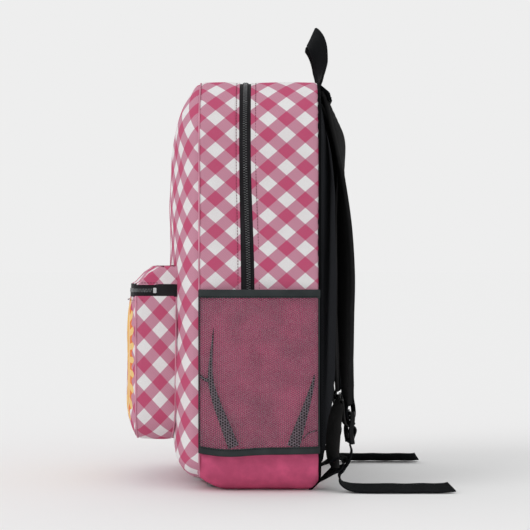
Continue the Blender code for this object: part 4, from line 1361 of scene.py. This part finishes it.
# The loose webbing below each ladder lock, as the CAD model has it.
TAIL_LINES = {
    "_R": [
        (0.129, 0.1285, 0.0535), (0.131, 0.13, 0.045), (0.134, 0.127, 0.0345), (0.137, 0.1205, 0.025),
        (0.139, 0.1165, 0.0185), (0.141, 0.1185, 0.0115), (0.1435, 0.127, 0.0066), (0.146, 0.14, 0.005),
        (0.1475, 0.156, 0.005), (0.1475, 0.174, 0.0052), (0.1475, 0.192, 0.0048), (0.147, 0.21, 0.0053),
        (0.1465, 0.228, 0.005), (0.146, 0.247, 0.0064),
    ],
    "_L": [
        (-0.129, 0.1285, 0.0535), (-0.13, 0.13, 0.045), (-0.132, 0.1275, 0.0345), (-0.134, 0.121, 0.0255),
        (-0.136, 0.118, 0.0185), (-0.138, 0.1215, 0.0115), (-0.14, 0.132, 0.008), (-0.141, 0.154, 0.0066),
        (-0.142, 0.171, 0.0068), (-0.142, 0.189, 0.0064), (-0.141, 0.206, 0.0068), (-0.14, 0.22, 0.0066),
        (-0.139, 0.2335, 0.0076),
    ],
}
TAIL_BANK = {"_R": 16.0, "_L": 27.0}


def make_tail(side, tag):
    path = smooth_line(TAIL_LINES[tag], 105)
    across = []
    for t in np.linspace(0.0, 1.0, 105):
        bank = radians(TAIL_BANK[tag]) * rise((t - 0.25) * 3, 1.5)
        across.append((side * cos(bank), 0.0, -sin(bank)))
    tail = sweep("loose_webbing" + tag, path, across, flat_section(WEB, 0.0017, 0.0005, 9), "webbing")
    verts = tail.data.vertices
    cut_y = max(v.co.y for v in verts)
    outer_x = max(abs(v.co.x) for v in verts)
    for v in verts:
        # The end is cut slanting.
        near_end = ease((v.co.y - (cut_y - 0.012)) / 0.012)
        v.co.y -= 0.0065 * near_end * (outer_x - abs(v.co.x)) / WEB
    finish_piece(tail, "buckle" + tag, ("webbing_tail" + tag,))


# The adjuster webbing's middle line on the right, with the lean across it, and the tab's.
ADJUSTER_LINE = (
    (0.133, 0.112, 0.0265, 0.35), (0.1327, 0.1092, 0.037, 0.6), (0.132, 0.1086, 0.048, 0.75),
    (0.131, 0.1092, 0.06, 0.8), (0.129, 0.111, 0.078, 0.75), (0.1275, 0.1138, 0.092, 0.6),
    (0.127, 0.116, 0.101, 0.3), (0.1272, 0.1182, 0.1025, 0.2), (0.1276, 0.1198, 0.096, 0.14),
    (0.1282, 0.1205, 0.086, 0.14), (0.1286, 0.1222, 0.078, 0.14), (0.1288, 0.1262, 0.0745, 0.14),
    (0.1286, 0.131, 0.0745, 0.14), (0.1288, 0.1335, 0.07, 0.14), (0.1292, 0.1315, 0.063, 0.14),
    (0.1292, 0.1292, 0.056, 0.14),
)
TAB_LINE = (
    (0.108, 0.096, 0.011), (0.117, 0.102, 0.016), (0.126, 0.1095, 0.021), (0.133, 0.1185, 0.0275),
    (0.1345, 0.1205, 0.0322), (0.1325, 0.1175, 0.036), (0.126, 0.11, 0.0345), (0.117, 0.1025, 0.0315),
    (0.109, 0.0965, 0.028),
)


def make_adjuster(side, tag):
    bend = ("bag", "strap" + tag, (0.0, 0.1172, 0.03), (0.0, 0.1212, 0.072))
    line = smooth_line(ADJUSTER_LINE, 140)
    path = [(side * p[0], p[1], p[2]) for p in line]
    across = [(1.0, side * p[3], 0.0) for p in line]
    band = flat_section(WEB - 0.0006, 0.0017, 0.0005, 9)
    strip = sweep("adjuster_cloth" + tag, path, across, band, "adjuster")
    finish_piece(strip, nodes=("adjuster_webbing" + tag,), bend=bend)
    # The corner tab, folded round the webbing's end and sewn into the seam.
    path = smooth_line([(side * x, y, z) for x, y, z in TAB_LINE], 60)
    widths = [mix(0.052, 0.029, sin(pi * i / 59) ** 0.7) for i in range(59)] + [0.052]
    band = flat_section(1.0, 0.0018, 0.02, 9)
    tab = sweep("anchor_cloth" + tag, path, (1.0, 0.0, 0.0), band, "webbing", widths=widths)
    rest_on_floor(tab)
    finish_piece(tab, "bag", ("anchor_tab" + tag,))


def dress_cad():
    """Better finishes for the CAD pieces whose shape stays."""
    metal = ["pocket_slider", "pocket_pull"]
    metal += [part + tag for part in ("main_slider", "main_pull", "pocket_end_stop") for _, tag in SIDES]
    looks = {"laptop_sleeve": "lining", "base_stiffener": "board", **dict.fromkeys(metal, "nickel")}
    for name, look in looks.items():
        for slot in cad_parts[name].material_slots:
            slot.link = "OBJECT"
            slot.material = MATERIALS[look]


# ---- stage


FLOOR_HALF = 60.0
FLOOR_GREY = (0.875, 0.875, 0.875)
SKY_GREY = (0.855, 0.855, 0.855)
SUN_SPREAD = radians(35)
SUN_STRENGTH = 0.62
SUN_FROM = (1.0, -1.6, 1.4)
# The camera looks squarely at the bag's right side, from 2 metres away.
EYE = (2.0, 0.031, 0.259)
SENSOR = 36.0
LENS = 110.58


def make_stage():
    floor = bpy.data.meshes.new("floor")
    size = FLOOR_HALF
    floor.from_pydata(
        [(-size, -size, 0), (size, -size, 0), (size, size, 0), (-size, size, 0)], [], [(0, 1, 2, 3)]
    )
    f = Finish("studio_floor", FLOOR_GREY, 0.95, specular=0.0)
    floor.materials.append(f.mat)
    obj = new_object("floor", floor)
    world = bpy.data.worlds.new("studio")
    world.use_nodes = True
    background = world.node_tree.nodes["Background"]
    background.inputs[0].default_value = (*SKY_GREY, 1.0)
    background.inputs[1].default_value = 1.0
    bpy.context.scene.world = world
    light = bpy.data.lights.new("key", "SUN")
    light.angle = SUN_SPREAD
    light.energy = SUN_STRENGTH
    lamp = new_object("key", light)
    lamp.location = SUN_FROM
    lamp.rotation_euler = (-lamp.location).to_track_quat("-Z", "Y").to_euler()
    camera = bpy.data.cameras.new("camera")
    camera.sensor_width = SENSOR
    camera.lens = LENS
    eye = new_object("camera", camera)
    eye.location = EYE
    eye.rotation_euler = (radians(90), 0.0, radians(90))
    bpy.context.scene.camera = eye
    bpy.context.scene.view_settings.view_transform = "Standard"


make_stage()
for side, tag in SIDES:
    make_tail(side, tag)
make_front()
make_gusset()
make_zipper()
make_base()
make_seams()
make_pocket()
make_pocket_zipper()
make_lid()
make_back()
make_handle()
for side, tag in SIDES:
    make_side(side, tag)
    make_strap(side, tag)
    make_lock(side, tag)
    make_adjuster(side, tag)
dress_cad()
